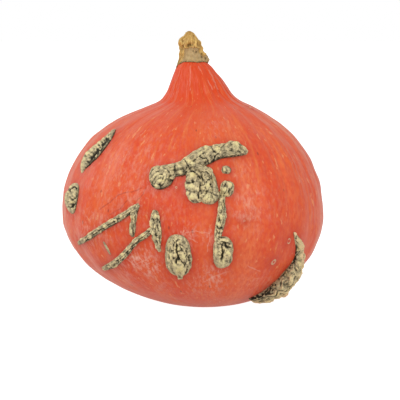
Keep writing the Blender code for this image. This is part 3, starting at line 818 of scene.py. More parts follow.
# %% Scars that grew into one another are one piece
SCAR_PIECES = {
    "cork_strip": ["shoulder_strip"],
    "cork_ring": ["side_ring"],
    "cork_bent_stroke": ["slanting_stroke", "short_stroke"],
    "cork_forked_stroke": ["spindle", "branch_stroke"],
    "cork_large_oval": ["large_oval", "large_oval_nub"],
    "cork_long_drop": ["knob", "hanging_stroke", "small_oval"],
    "cork_dot": ["dot"],
    "cork_slanting_bar": ["slanting_bar", "left_lobe", "right_lobe", "crossing_strand", "outer_strand"],
    "cork_crescent": ["crescent"],
    "cork_scratch": ["flat_scratch"],
}
SEED_STEP = 3.7
JOINED_SEED_STEP = 1.3


def join(name, parts):
    """Joins the objects into one with this name."""
    bpy.ops.object.select_all(action="DESELECT")
    for part in parts:
        part.select_set(True)
    bpy.context.view_layer.objects.active = parts[0]
    if len(parts) > 1:
        bpy.ops.object.join()
    parts[0].name = name
    return parts[0]


cork = []
for name, scars in SCAR_PIECES.items():
    seeds = [SEED_STEP * len(cork) + JOINED_SEED_STEP * i for i in range(len(scars))]
    cork.append(join(name, [make_scar(scar, seed) for scar, seed in zip(scars, seeds)]))
    lowest = round(float(points_of(cork[-1])[:, 2].min()), 2)
    print(name, len(cork[-1].data.polygons), "faces, lowest at", lowest, "mm")

# %% [markdown]
# ## Small marks
# Healed pinpricks leave pimples, and insect bites leave little rings with a raised rim. They are a few
# millimetres across. A pimple is a disc that is extruded step by step into a low dome with a pressed-in top,
# and a ring is a flattened torus. Each is turned to face out of the rind and sunk to its middle. The back has
# its own, because no squash is marked on one side only.

# %% Model a mark at the origin, then turn it to the rind and apply its place
PIMPLES = [(-10.5, 75.8, 1.1), (33.7, 54, 1.1), (37.6, 128, 0.9)]
RINGS = [(63, 40.6, 1.2), (53.1, 26.8, 1.3)]
BACK_PIMPLES = [(-30, 90, 1.2), (12, 62, 0.9), (41, 48, 1.5), (-12, 31, 1.1), (3, 112, 0.8), (-55, 66, 1)]
BACK_RINGS = [(22, 84, 1.7), (-38, 44, 1.4)]
# Steps up a pimple: rise, and how much narrower it gets, both in shares of its radius
PIMPLE_STEPS = [(0.5, 0.98), (0.16, 0.9), (0.12, 0.8), (0.05, 0.65), (-0.06, 0.6), (-0.1, 0.5)]
PIMPLE_SIDES = 24
RING_SIDES = (32, 12)
RING_THICKNESS = 0.5
RING_SHAPE = (1, 1.2, 0.6)


def set_on_rind(mark, across, up, behind):
    """Turns a mark that was modelled at the origin to face out of the rind, and applies its place."""
    place, slope = on_rind(across, up, behind)
    mark.rotation_euler = slope.to_track_quat("Z", "Y").to_euler()
    mark.location = place * MM
    bpy.ops.object.transform_apply(location=True, rotation=True, scale=True)
    bpy.ops.object.shade_smooth()
    return mark


def add_pimple(across, up, radius, behind=False):
    """A low dome with a pressed-in top."""
    bpy.ops.object.select_all(action="DESELECT")
    bpy.ops.mesh.primitive_circle_add(vertices=PIMPLE_SIDES, radius=radius * MM, fill_type="NGON")
    bpy.ops.object.mode_set(mode="EDIT")
    bpy.ops.transform.translate(value=(0, 0, -radius * MM / 2))
    for rise, share in PIMPLE_STEPS:
        bpy.ops.mesh.extrude_region_move(TRANSFORM_OT_translate={"value": (0, 0, rise * radius * MM)})
        bpy.ops.transform.resize(value=(share, share, 1))
    bpy.ops.object.mode_set(mode="OBJECT")
    face_outward()
    return set_on_rind(bpy.context.object, across, up, behind)


def add_ring(across, up, radius, behind=False):
    """A flattened ring, a little longer than wide."""
    bpy.ops.object.select_all(action="DESELECT")
    bpy.ops.mesh.primitive_torus_add(
        major_segments=RING_SIDES[0], minor_segments=RING_SIDES[1],
        major_radius=radius * MM, minor_radius=RING_THICKNESS * radius * MM,
    )
    bpy.ops.object.mode_set(mode="EDIT")
    bpy.ops.transform.resize(value=RING_SHAPE)
    bpy.ops.object.mode_set(mode="OBJECT")
    return set_on_rind(bpy.context.object, across, up, behind)


marks = [add_pimple(*mark) for mark in PIMPLES] + [add_pimple(*mark, True) for mark in BACK_PIMPLES]
marks += [add_ring(*mark) for mark in RINGS] + [add_ring(*mark, True) for mark in BACK_RINGS]
small_marks = join("cork_small_marks", marks)
print(small_marks.name, len(small_marks.data.polygons), "faces")

# %% [markdown]
# ## How the rind meets the cork
# The rind is a deeper red beside a scar, partly in its own colour and partly with painted shade, and swells
# a little where it grips it. The distance from each point of the rind to the nearest scar is measured once,
# moves the rind outward by a fraction of a millimetre, and is kept for the colour. Places where the rind was
# rubbed dusty, and two broad painted highlights, are kept in the same way.

# %% Measure the distance to the cork and swell the rind beside it
SWELL = 0.35
SWELL_REACH = 2.2
SWELL_BEGINS = (4, 12)    # heights over the floor
REDDER_REACH = 3.5

tree = kdtree.KDTree(sum(len(scar.data.vertices) for scar in cork + [small_marks]))
for scar in cork + [small_marks]:
    for vertex in scar.data.vertices:
        tree.insert(vertex.co, vertex.index)
tree.balance()
distance = np.array([tree.find(vertex.co)[2] for vertex in skin.data.vertices]) / MM
points = points_of(skin)
_, angle, height = round_axis(points)
outward = np.stack([np.cos(angle), np.sin(angle), np.zeros(len(angle))], axis=1)
points += outward * (SWELL * bell(distance, 0, SWELL_REACH) * ramp(height, *SWELL_BEGINS))[:, None]
move_points(skin, points)
keep_values(skin, "near_scar", np.exp(-distance / REDDER_REACH))
print("points of the rind within", REDDER_REACH, "mm of a scar:", int((distance < REDDER_REACH).sum()))

# %% Scuffs and broad painted highlights, and where each point is seen
BEHIND = 1000    # keeps the back's points away from every hairline
# Where the rind was rubbed, and two broad painted highlights, at (-40, 75) on the left and (38, 62) on the
# right: across, up, reach, strength
SCUFFS_AND_HIGHLIGHTS = [
    (-36, 28.5, 8, 1.1), (-28, 24, 8, 1), (-30, 36, 5, 0.5), (-4.9, 45, 8, 0.7), (11, 43, 6, 0.6),
    (13.4, 15.5, 9, 0.9), (2, 9, 9, 0.4), (-22, 10, 12, 0.3), (-45, 17, 12, 0.4), (31, 87, 7, 0.3),
    (-45, 95, 10, 0.4), (-30, 100, 9, 0.35), (15, 115, 8, 0.3), (-66, 50, 16, 0.5), (45, 12, 10, 0.3),
    (-40, 75, 36, 0.32), (38, 62, 14, 0.45),
]

places = seen_at(points)
scuff_and_highlight = np.zeros(len(points))
for across, up, reach, strength in SCUFFS_AND_HIGHLIGHTS:
    spot = bell(np.hypot(places[:, 0] - across, places[:, 1] - up), 0, reach)
    scuff_and_highlight = np.maximum(scuff_and_highlight, np.where(points[:, 1] < 0, strength * spot, 0))
keep_values(skin, "scuff_and_highlight", scuff_and_highlight)
seen_place = np.column_stack([places, np.where(points[:, 1] < 0, 0, BEHIND)])
keep_values(skin, "seen_place", seen_place)
print("points of the rind in a scuff:", int((scuff_and_highlight > 0.1).sum()))

# %% [markdown]
# ## The stem
# The stem dried to cork and fibre. Its upper half is a ragged husk of gold fibre that ends in a torn edge,
# and its lower half is smooth and grey-tan, with a lobe on one side and skirts that drape over the neck. It
# is spun from its outline like the rind, and then its points are moved: lobes and knots much as in the solid,
# a step at the torn edge, fibres that run up it, and pits where bits broke off.

# %% Outline and forms of the stem
STEM_TOP = 177.6
STEM_OUTLINE = [
    (0, STEM_TOP), (1.5, 176.6), (3.4, 174.6), (5.6, 172.3), (6.8, 170), (6.9, 167.4), (6.4, 165.1),
    (6.4, 163.2), (6.7, 160.8), (7.6, 159.1),
]
STEM_RIM_RADIUS = 8.4
STEM_ROWS = 110
STEM_UNDER_ROWS = 12
STEM_STEPS = 190
STEM_LOBES = 6
STEM_LOBE_SHARE = 0.06
STEM_KNOT_DEPTH = 0.8
STEM_KNOT_SPACING = 5
STEM_GAP = 0.3
STEM_SKIRTS = [(180, 26, 3.6), (-70, 16, 0.4), (10, 26, 1.2)]
STEM_SIDE_LOBES = [(5, 26, 159.8, 3.4, 3.4), (180, 26, 160.2, 5, 1.5)]

UPPER_SIDE = OUTLINE[:int(np.argmax(OUTLINE[:, 0])) + 1]


def neck_height(radius):
    """Height of the rind's upper side at this radius."""
    return np.interp(radius, UPPER_SIDE[:, 0], UPPER_SIDE[:, 1])


rows = [tuple(row) for row in evenly(smooth_line(STEM_OUTLINE), STEM_ROWS)]
rows[0] = (0, STEM_TOP)
for row in range(STEM_UNDER_ROWS + 1):
    radius = STEM_RIM_RADIUS * (1 - row / STEM_UNDER_ROWS)
    rows.append((radius, float(neck_height(radius)) + STEM_GAP))
stem = spin_outline("dry_stem", rows, STEM_STEPS)
print(stem.name, len(stem.data.vertices), "points")

# %% Lobes, knots and skirts of the stem
radius, angle, height = round_axis(points_of(stem))
under = height <= neck_height(radius) + STEM_GAP + TOUCHING
skirt = sum(reach * bell(away_from(angle, direction), 0, spread) for direction, spread, reach in STEM_SKIRTS)
draped_radius = radius * (1 + skirt / STEM_RIM_RADIUS)
place = (radius * np.cos(angle), radius * np.sin(angle), height)
knotted = radius * (1 + STEM_LOBE_SHARE * np.cos(STEM_LOBES * angle))
knotted += STEM_KNOT_DEPTH * noise_at(*(value / STEM_KNOT_SPACING for value in place))
lobed = np.zeros(len(radius))
for direction, spread, middle, half_height, reach in STEM_SIDE_LOBES:
    level = np.exp(-(((height - middle) / half_height) ** 4))
    lobe = reach * bell(away_from(angle, direction), 0, spread) * level
    knotted += lobe
    lobed = np.maximum(lobed, lobe)
print("the stem's points stand up to", round(float(knotted.max()), 1), "mm from its axis")

# %% The torn edge of the husk
TORN_EDGE = (151, 166.6)    # low on the two sides, high over the grey faces in front and behind
BARE_FACES = [(-85, 60), (95, 45)]
TORN_WAVES = [(3, 0.5, 0.8), (9, 4.5, 1.1)]    # how fine, seed, depth in millimetres
TORN_BLUR = 0.35
BARE_LOBES = (1.5, 2.1)     # a lobe that stands out this far has lost its husk

bare = sum(bell(away_from(angle, direction), 0, spread) for direction, spread in BARE_FACES)
edge = TORN_EDGE[0] + (TORN_EDGE[1] - TORN_EDGE[0]) * np.clip(2 * bare, 0, 1)
for fineness, seed, depth in TORN_WAVES:
    edge += depth * noise_at(fineness * np.cos(angle), fineness * np.sin(angle), seed)
husk = ramp(height, edge - TORN_BLUR, edge + TORN_BLUR) * (1 - ramp(lobed, *BARE_LOBES))
keep_values(stem, "husk", husk)
print("the husk covers", round(100 * float(husk.mean())), "% of the stem's points")

# %% Fibres, chunks and cuts
STEM_RADIUS = 7
FIBRE_SPACING = (0.8, 5)
FIBRE_DEPTH = 0.8
CHUNK_SPACING = (2.6, 3.2)
CHUNK_DEPTH = 1.4
CUT_SPACING = (1.7, 5)
CUT_SHARPNESS = 0.1
CUT_DEPTH = 0.5
CUT_CHUNKS = (0.3, -0.3)    # cuts show in the hollows between the chunks
HUSK_STEP = 0.6
HUSK_INWARD = 0.5
SMOOTH_FIBRES = 0.25        # share of the fibres' depth on the smooth lower half
SMOOTH_CHUNKS = 0.15        # share of the chunks' depth there
LEAST_RADIUS = 0.4          # no point moves inward past this share of its radius
TIP_RADIUS = 0.3            # points nearer to the axis than this keep their radius

round_x, round_y = STEM_RADIUS * np.cos(angle), STEM_RADIUS * np.sin(angle)


def stem_noise(spacing_round, spacing_up, shift=0):
    """Noise round the stem and up it, with its own spacing each way in millimetres."""
    return noise_at(round_x / spacing_round, round_y / spacing_round, height / spacing_up + shift)


fibres = stem_noise(*FIBRE_SPACING)
chunks = stem_noise(*CHUNK_SPACING)
cuts = folds_of(stem_noise(*CUT_SPACING, 9), CUT_SHARPNESS) * ramp(chunks, *CUT_CHUNKS)
knotted += HUSK_STEP * husk - HUSK_INWARD
knotted += (SMOOTH_FIBRES + (1 - SMOOTH_FIBRES) * husk) * FIBRE_DEPTH * fibres
knotted += (SMOOTH_CHUNKS + (1 - SMOOTH_CHUNKS) * husk) * (CHUNK_DEPTH * chunks - CUT_DEPTH * cuts)
knotted = np.maximum(knotted, radius * LEAST_RADIUS)
body = leaning(np.where(radius > TIP_RADIUS, knotted, radius), angle, height)
draped = leaning(draped_radius, angle, neck_height(draped_radius) + STEM_GAP)
points = np.where(under[:, None], draped, body)
keep_values(stem, "fibre", np.stack([round_x, round_y, height], axis=1))
print("stem with fibres, lowest at", round(float(points[:, 2].min()), 1), "mm")

# %% Pits and a ragged tip: each pit's across, up, reach and depth
PITS = [
    (-6.2, 171, 0.9, 1.2), (-5.9, 167.9, 1, 1.3), (-2.9, 167.9, 1.3, 1.3), (-1.6, 168.8, 0.9, 1),
    (-0.1, 168.6, 0.9, 1), (1.1, 170.1, 0.8, 0.9), (0.4, 164.5, 0.6, 0.6), (2.3, 164, 0.6, 0.6),
    (6, 162.8, 0.8, 1), (6, 160.6, 0.9, 1.2), (6, 158.9, 0.8, 1), (8.4, 159.6, 0.5, 0.8),
]
PIT_NARROWNESS = 1.7
PIT_EDGE = (0.8, 0.4)       # how far the chunks and the fibres move its edge, in millimetres
GAP_SHARES = (0.8, 0.5)     # how much painted shade the cuts and the hollows get
GAP_STRENGTH = (0.2, 0.5)   # on the smooth half, and how much more on the husk
RAGGED_SPACING = 1.5
RAGGED_DEPTH = 0.5
RAGGED_TIP = (170, 177)

places = seen_at(points)
pitted = np.zeros(len(points))
for across, up, reach, depth in PITS:
    away = np.hypot(PIT_NARROWNESS * (places[:, 0] - across), places[:, 1] - up)
    away = away + PIT_EDGE[0] * chunks + PIT_EDGE[1] * fibres
    spot = bell(away, 0, reach) * (points[:, 1] < 0)
    points[:, 1] += depth * spot * ~under
    pitted = np.maximum(pitted, spot)
ragged = RAGGED_DEPTH * noise_at(round_x / RAGGED_SPACING, round_y / RAGGED_SPACING, radius)
points[:, 2] += np.where(under, 0, ragged * ramp(height, *RAGGED_TIP))
points[:, 2] = np.minimum(points[:, 2], STEM_TOP)
move_points(stem, points)
# Pits, and the cuts and hollows between the chunks, are darkened with painted shade.
gap_shade = np.clip(GAP_SHARES[0] * cuts - GAP_SHARES[1] * chunks, 0, 1)
gap_shade *= GAP_STRENGTH[0] + GAP_STRENGTH[1] * husk
keep_values(stem, "painted_shade", np.maximum(pitted, gap_shade))
print("stem", round(float(points[:, 2].max() - points[:, 2].min()), 1), "mm tall")

# %% [markdown]
# ## Shared effects
# Rind, cork and stem all need blotches, specks and a dusty film, each at its own scale. Each effect is one
# node group with named inputs, built once and placed in the materials with different values, as a painter
# uses the same brush in several colours.

# %% Make a node group
def new_group(name, inputs, outputs):
    """A shader node group with its sockets, and the nodes that stand for its two ends."""
    group = bpy.data.node_groups.new(name, "ShaderNodeTree")
    for label, value in inputs.items():
        kind = "NodeSocketVector" if value is None else "NodeSocketFloat"
        socket = group.interface.new_socket(name=label, in_out="INPUT", socket_type=kind)
        if value is not None:
            socket.default_value = value
    for label in outputs:
        group.interface.new_socket(name=label, in_out="OUTPUT", socket_type="NodeSocketFloat")
    start = group.nodes.new("NodeGroupInput")
    end = group.nodes.new("NodeGroupOutput")
    return group, start, end


def put(tree, kind, links=None, **settings):
    """Adds a node, sets it, and links or sets its inputs."""
    node = tree.nodes.new(kind)
    for name, value in settings.items():
        setattr(node, name, value)
    for name, value in (links or {}).items():
        if isinstance(value, bpy.types.NodeSocket):
            tree.links.new(value, node.inputs[name])
        else:
            node.inputs[name].default_value = value
    return node


# %% Blotches, specks and dust
blotches, start, end = new_group(
    "blotches", {"Place": None, "Scale": 1, "Detail": 3, "Low": 0.45, "High": 0.6}, ["Mask"]
)
cloud = put(blotches, "ShaderNodeTexNoise", {
    "Vector": start.outputs["Place"], "Scale": start.outputs["Scale"], "Detail": start.outputs["Detail"],
})
cut = put(blotches, "ShaderNodeMapRange", {
    "Value": cloud.outputs["Fac"], "From Min": start.outputs["Low"], "From Max": start.outputs["High"],
}, interpolation_type="SMOOTHSTEP")
blotches.links.new(cut.outputs["Result"], end.inputs["Mask"])

specks, start, end = new_group("specks", {"Place": None, "Scale": 1, "Size": 0.2, "Share": 0.5}, ["Mask"])
cells = put(specks, "ShaderNodeTexVoronoi", {
    "Vector": start.outputs["Place"], "Scale": start.outputs["Scale"],
})
half_size = put(specks, "ShaderNodeMath", {0: start.outputs["Size"], 1: 0.5}, operation="MULTIPLY")
dots = put(specks, "ShaderNodeMapRange", {
    "Value": cells.outputs["Distance"], "From Min": start.outputs["Size"], "From Max": half_size.outputs[0],
}, interpolation_type="SMOOTHSTEP")
chance = put(specks, "ShaderNodeSeparateColor", {"Color": cells.outputs["Color"]})
kept = put(specks, "ShaderNodeMath", {
    0: chance.outputs["Red"], 1: start.outputs["Share"],
}, operation="LESS_THAN")
masked = put(specks, "ShaderNodeMath", {0: dots.outputs["Result"], 1: kept.outputs[0]}, operation="MULTIPLY")
specks.links.new(masked.outputs[0], end.inputs["Mask"])

dust, start, end = new_group("dust", {"Place": None, "Scale": 1, "Amount": 0.5}, ["Mask"])
patches = put(dust, "ShaderNodeTexNoise", {
    "Vector": start.outputs["Place"], "Scale": start.outputs["Scale"],
    "Detail": 6, "Roughness": 0.75, "Distortion": 0.3,
})
faint = put(dust, "ShaderNodeMapRange", {
    "Value": patches.outputs["Fac"], "From Min": 0.42, "From Max": 0.68,
}, interpolation_type="SMOOTHSTEP")
film = put(dust, "ShaderNodeMath", {
    0: faint.outputs["Result"], 1: start.outputs["Amount"],
}, operation="MULTIPLY")
dust.links.new(film.outputs[0], end.inputs["Mask"])

# %% [markdown]
# ## A hairline
# A thin crack or scratch is a line between two known places, so no noise can draw it. The group finds the
# nearest point of that line to each place of the surface, and marks the places that are very close to it.

# %% Hairline
hairline, start, end = new_group(
    "hairline", {"Place": None, "Start": None, "End": None, "Width": 0.4}, ["Mask"]
)
begin, place = start.outputs["Start"], start.outputs["Place"]


def reckon(operation, first, second, output=0):
    """One step of vector arithmetic inside the hairline group."""
    other = "Scale" if operation == "SCALE" else 1
    node = put(hairline, "ShaderNodeVectorMath", {0: first, other: second}, operation=operation)
    return node.outputs[output]


run = reckon("SUBTRACT", start.outputs["End"], begin)
off = reckon("SUBTRACT", place, begin)
reach = reckon("DOT_PRODUCT", off, run, "Value")
whole = reckon("DOT_PRODUCT", run, run, "Value")
share = put(hairline, "ShaderNodeMath", {0: reach, 1: whole}, operation="DIVIDE", use_clamp=True).outputs[0]
gap = reckon("DISTANCE", off, reckon("SCALE", run, share), "Value")
thin = put(hairline, "ShaderNodeMapRange", {
    "Value": gap, "From Min": start.outputs["Width"], "From Max": 0,
}, interpolation_type="SMOOTHSTEP")
hairline.links.new(thin.outputs["Result"], end.inputs["Mask"])
print("node groups:", [group.name for group in bpy.data.node_groups])


# %% Short ways to use them
def new_material(name):
    """A new material, its nodes and its shader."""
    material = bpy.data.materials.new(name)
    material.use_nodes = True
    return material, material.node_tree, material.node_tree.nodes["Principled BSDF"]


def stored(tree, name, output="Fac"):
    """A value that was kept for each point of the mesh."""
    return put(tree, "ShaderNodeAttribute", attribute_name=name).outputs[output]


def effect(tree, group, **values):
    """One of the shared effects, with its own values."""
    return put(tree, "ShaderNodeGroup", values, node_tree=group).outputs["Mask"]


def stretched(tree, place, *scale):
    """The coordinate, scaled by different amounts along its three ways."""
    return put(tree, "ShaderNodeMapping", {"Vector": place, "Scale": scale}).outputs["Vector"]


def times(tree, first, second):
    """The product, kept between 0 and 1."""
    return put(tree, "ShaderNodeMath", {0: first, 1: second}, operation="MULTIPLY", use_clamp=True).outputs[0]


def plus(tree, first, second):
    """The sum."""
    return put(tree, "ShaderNodeMath", {0: first, 1: second}, operation="ADD").outputs[0]


def paint(tree, under, over, mask):
    """Lays one colour over another where the mask is high."""
    node = put(tree, "ShaderNodeMix", data_type="RGBA")
    for socket, value in ((node.inputs[0], mask), (node.inputs[6], under), (node.inputs[7], over)):
        if isinstance(value, bpy.types.NodeSocket):
            tree.links.new(value, socket)
        else:
            socket.default_value = value if isinstance(value, float) else (*value, 1)
    return node.outputs[2]


def between(tree, value, low, high, start=0, end=1):
    """The value's stretch from start to end, as a value from low to high."""
    return put(tree, "ShaderNodeMapRange", {
        "Value": value, "From Min": start, "From Max": end, "To Min": low, "To Max": high,
    }).outputs["Result"]


def raised(tree, shader, height, distance, strength=1):
    """Bumps the surface by this height, which is in shares of the distance in millimetres."""
    bump = put(tree, "ShaderNodeBump", {"Height": height, "Distance": distance * MM, "Strength": strength})
    tree.links.new(bump.outputs["Normal"], shader.inputs["Normal"])


# %% [markdown]
# ## The rind's finish
# The rind is a deep orange-red under a thin wax. Pale flecks and streaks run down it from the neck, small
# pores dot it, it is redder beside the scars, and it is dusty where it was rubbed. Everything that runs
# down the fruit reads the meridian coordinate, so it converges at the stem as the real markings do. The wax
# is a light coat on the shader, and its shine varies with the dust.

# %% Colours of the rind
RED = (0.71, 0.066, 0.018)
ORANGE = (0.80, 0.135, 0.022)
DEEP_RED = (0.60, 0.042, 0.012)
STREAK = (0.80, 0.25, 0.06)
FLECK = (0.86, 0.34, 0.14)
NECK_ORANGE = (0.70, 0.054, 0.003)
BAND_ORANGE_AND_HIGHLIGHT = (0.84, 0.19, 0.065)
PORE = (0.30, 0.03, 0.01)
SCAR_RED_AND_SHADE = (0.50, 0.035, 0.014)
DUST_AND_HIGHLIGHT_PINK = (0.82, 0.40, 0.30)
CRACK_RED = (0.40, 0.03, 0.012)
BLOSSOM_CORK = (0.42, 0.30, 0.16)

# %% Ground colour of the rind: orange patches and bands on red, and a redder neck
rind, tree, shader = new_material("waxy_rind")
meridian_place = stored(tree, "meridian", "Vector")
streaky = stretched(tree, meridian_place, 1, 1, 0.12)
flecky = stretched(tree, meridian_place, 1, 1, 0.38)
neck_mask = stored(tree, "neck")
broad = stretched(tree, meridian_place, 1, 1, 0.2)
patches = effect(tree, blotches, Place=broad, Scale=0.05, Detail=2, Low=0.42, High=0.62)
colour = paint(tree, RED, ORANGE, times(tree, patches, 0.35))
mottle = effect(tree, blotches, Place=flecky, Scale=0.5, Detail=5, Low=0.3, High=0.7)
colour = paint(tree, colour, DEEP_RED, times(tree, mottle, 0.4))
grainy = effect(tree, blotches, Place=flecky, Scale=0.75, Detail=5, Low=0.38, High=0.64)
colour = paint(tree, colour, ORANGE, times(tree, grainy, 0.4))
# The orange bands; the one in front on the right is also a painted highlight.
band_mask = times(tree, stored(tree, "orange_band"), plus(tree, times(tree, grainy, 0.5), 0.35))
colour = paint(tree, colour, BAND_ORANGE_AND_HIGHLIGHT, band_mask)
colour = paint(tree, colour, NECK_ORANGE, times(tree, neck_mask, 0.92))
print("ground colour:", len(tree.nodes), "nodes")

# %% Markings of the rind: streaks, flecks, pores and the red beside the scars, partly painted shade
streak_mask = effect(tree, blotches, Place=streaky, Scale=0.4, Detail=4, Low=0.57, High=0.7)
streak_zone = effect(tree, blotches, Place=meridian_place, Scale=0.06, Detail=2, Low=0.4, High=0.62)
colour = paint(tree, colour, STREAK, times(tree, times(tree, streak_mask, streak_zone), 0.35))
downward = stretched(tree, meridian_place, 1, 1, 0.05)
shoulder_lines = effect(tree, blotches, Place=downward, Scale=0.42, Detail=3, Low=0.54, High=0.7)
colour = paint(tree, colour, STREAK, times(tree, times(tree, shoulder_lines, stored(tree, "shoulder")), 0.32))
fleck_mask = effect(tree, blotches, Place=flecky, Scale=0.45, Detail=5, Low=0.62, High=0.7)
colour = paint(tree, colour, FLECK, times(tree, fleck_mask, 0.6))
pinpoint_mask = effect(tree, specks, Place=flecky, Scale=0.3, Size=0.15, Share=0.3)
colour = paint(tree, colour, FLECK, times(tree, pinpoint_mask, 0.35))
pore_mask = effect(tree, specks, Place=flecky, Scale=0.16, Size=0.1, Share=0.6)
colour = paint(tree, colour, PORE, times(tree, pore_mask, 0.8))
# Beside the scars the rind is redder, partly in its own colour and partly with painted shade.
colour = paint(tree, colour, SCAR_RED_AND_SHADE, times(tree, stored(tree, "near_scar"), 0.7))
print("with markings:", len(tree.nodes), "nodes")

# %% Hairlines in the rind, seen on the upright plane: dark cracks, pale dry scratches, and painted highlights on fine ridges of the neck
HAIRLINE_WIDTH = 0.6
HAIRLINE_WAVER = 1.6
CRACKS = [
    [(-60.5, 61.7), (-55, 65.2), (-47.9, 71.4), (-39.6, 73), (-33, 75.5)],
    [(-36.3, 67), (-32, 71.8), (-30.4, 76.1)],
    [(-54, 58), (-47, 62), (-42.5, 67.6)],
]
# The last four lines, on the neck, are painted highlights along the tops of fine ridges.
SCRATCHES_AND_RIDGE_HIGHLIGHTS = [
    [(-4.2, 46.2), (3, 47), (10.8, 45.5), (11.4, 42.6), (10.1, 37.4), (9.7, 33.4)],
    [(-2.3, 42.6), (1, 41), (3, 39.8)],
    [(-44, 29), (-38, 25), (-31, 28), (-27, 31)],
    [(-36, 30.5), (-30, 25), (-26, 27)], [(8, 13.5), (14, 17), (22, 20)],
    [(36.2, 24.2), (39.6, 22.6), (44.2, 20.5)], [(-1.3, 154.8), (-1.6, 147), (-1.6, 139.7)],
    [(4, 154.8), (5, 151.9)], [(10.8, 152.4), (13.2, 147), (16.5, 139.8)], [(10.1, 145.6), (13, 139.8)],
]

seen_at_place = stored(tree, "seen_place", "Vector")
waver = put(tree, "ShaderNodeTexNoise", {"Vector": seen_at_place, "Scale": 0.35, "Detail": 3})
centred = put(tree, "ShaderNodeVectorMath", {
    0: waver.outputs["Color"], 1: (0.5, 0.5, 0.5),
}, operation="SUBTRACT").outputs[0]
wavering = put(tree, "ShaderNodeVectorMath", {
    0: centred, "Scale": HAIRLINE_WAVER,
}, operation="SCALE").outputs[0]
line_place = put(tree, "ShaderNodeVectorMath", {0: seen_at_place, 1: wavering}, operation="ADD").outputs[0]
for lines, shade, strength in ((CRACKS, CRACK_RED, 0.75), (SCRATCHES_AND_RIDGE_HIGHLIGHTS, DUST_AND_HIGHLIGHT_PINK, 0.42)):
    for line in lines:
        for begin, finish in zip(line, line[1:]):
            hair = effect(
                tree, hairline, Place=line_place, Start=(*begin, 0), End=(*finish, 0), Width=HAIRLINE_WIDTH
            )
            colour = paint(tree, colour, shade, times(tree, hair, strength))
print(len(CRACKS), "cracks and", len(SCRATCHES_AND_RIDGE_HIGHLIGHTS), "scratches")

# %% Dust, broad painted highlights and wax of the rind
scuff_and_highlight_mask = effect(tree, dust, Place=flecky, Scale=0.5, Amount=plus(tree, stored(tree, "scuff_and_highlight"), 0.08))
# Pale pink is laid where the rind was rubbed and as broad painted highlights.
colour = paint(tree, colour, DUST_AND_HIGHLIGHT_PINK, scuff_and_highlight_mask)
colour = paint(tree, colour, BLOSSOM_CORK, stored(tree, "blossom"))
tree.links.new(colour, shader.inputs["Base Color"])
polish = effect(tree, blotches, Place=meridian_place, Scale=0.12, Detail=3, Low=0.3, High=0.7)
roughness = plus(tree, between(tree, polish, 0.38, 0.5), times(tree, scuff_and_highlight_mask, 0.3))
tree.links.new(roughness, shader.inputs["Roughness"])
peel = put(tree, "ShaderNodeTexNoise", {"Vector": meridian_place, "Scale": 1.1, "Detail": 3}).outputs["Fac"]
raised(tree, shader, plus(tree, peel, times(tree, fleck_mask, 0.4)), 0.12, 0.8)
shader.inputs["Coat Weight"].default_value = 0.25
shader.inputs["Coat Roughness"].default_value = 0.3
shader.inputs["Specular IOR Level"].default_value = 0.12
shader.inputs["Sheen Weight"].default_value = 0.2
shader.inputs["Sheen Roughness"].default_value = 0.4
shader.inputs["Sheen Tint"].default_value = (1, 0.7, 0.55, 1)
skin.data.materials.append(rind)
print(rind.name, len(tree.nodes), "nodes")

# %% [markdown]
# ## The cork's finish
# Weathered cork is cream and grey-tan on its ridges. Painted shade, black-green at its darkest, lies down in
# its folds, at the foot of each scar and on the sides that face away from the light. How deep each point is
# in that painted shade was kept, so one ramp of colours follows it, broken up by noise so that no fold is
# evenly dark. Knob tops and lit sides get a painted highlight, pale yellow, and peach on the crescent.
# Specks, ochre stains and a fine crumb finish it, and it has no shine.

# %% Cork material
DEEP_SHADE = (0.026, 0.022, 0.012)
GREY_GREEN = (0.18, 0.15, 0.085)
GREY_TAN = (0.42, 0.345, 0.205)
TAN = (0.60, 0.49, 0.275)
CREAM = (0.86, 0.71, 0.38)
PEACH_HIGHLIGHT = (0.86, 0.58, 0.34)
OCHRE = (0.70, 0.53, 0.19)
YELLOW_HIGHLIGHT = (0.86, 0.76, 0.36)
DARK_SPECK = (0.06, 0.05, 0.025)


def colour_ramp(tree, value, stops):
    """A ramp through the colours at their places from 0 to 1."""
    node = put(tree, "ShaderNodeValToRGB", {"Fac": value})
    elements = node.color_ramp.elements
    while len(elements) < len(stops):
        elements.new(0.5)
    for element, (place, shade) in zip(elements, stops):
        element.position = place
        element.color = (*shade, 1)
    return node.outputs["Color"]


cork_material, tree, shader = new_material("scar_cork")
place = put(tree, "ShaderNodeTexCoord").outputs["Object"]
wobble = put(tree, "ShaderNodeTexNoise", {
    "Vector": place, "Scale": 650, "Detail": 5, "Roughness": 0.7,
}).outputs["Fac"]
broad = put(tree, "ShaderNodeTexNoise", {"Vector": place, "Scale": 260, "Detail": 3}).outputs["Fac"]
open_share = put(tree, "ShaderNodeMath", {0: 1.0, 1: stored(tree, "painted_shade")}, operation="SUBTRACT").outputs[0]
fine = between(tree, wobble, -0.15, 0.14, 0.3, 0.7)
wide = between(tree, broad, -0.14, 0.14, 0.3, 0.7)
crumb = effect(tree, blotches, Place=place, Scale=1500, Detail=4, Low=0.3, High=0.7)
grit = between(tree, crumb, -0.11, 0.11)
shade = plus(tree, plus(tree, plus(tree, open_share, fine), wide), grit)
shade = plus(tree, shade, times(tree, stored(tree, "painted_highlight"), 0.15))
# The ramp runs from the painted shade of the hollows, darkest, up to cream on the tops.
colour = colour_ramp(
    tree, shade, [(0.06, DEEP_SHADE), (0.28, GREY_GREEN), (0.5, GREY_TAN), (0.7, TAN), (0.98, CREAM)]
)
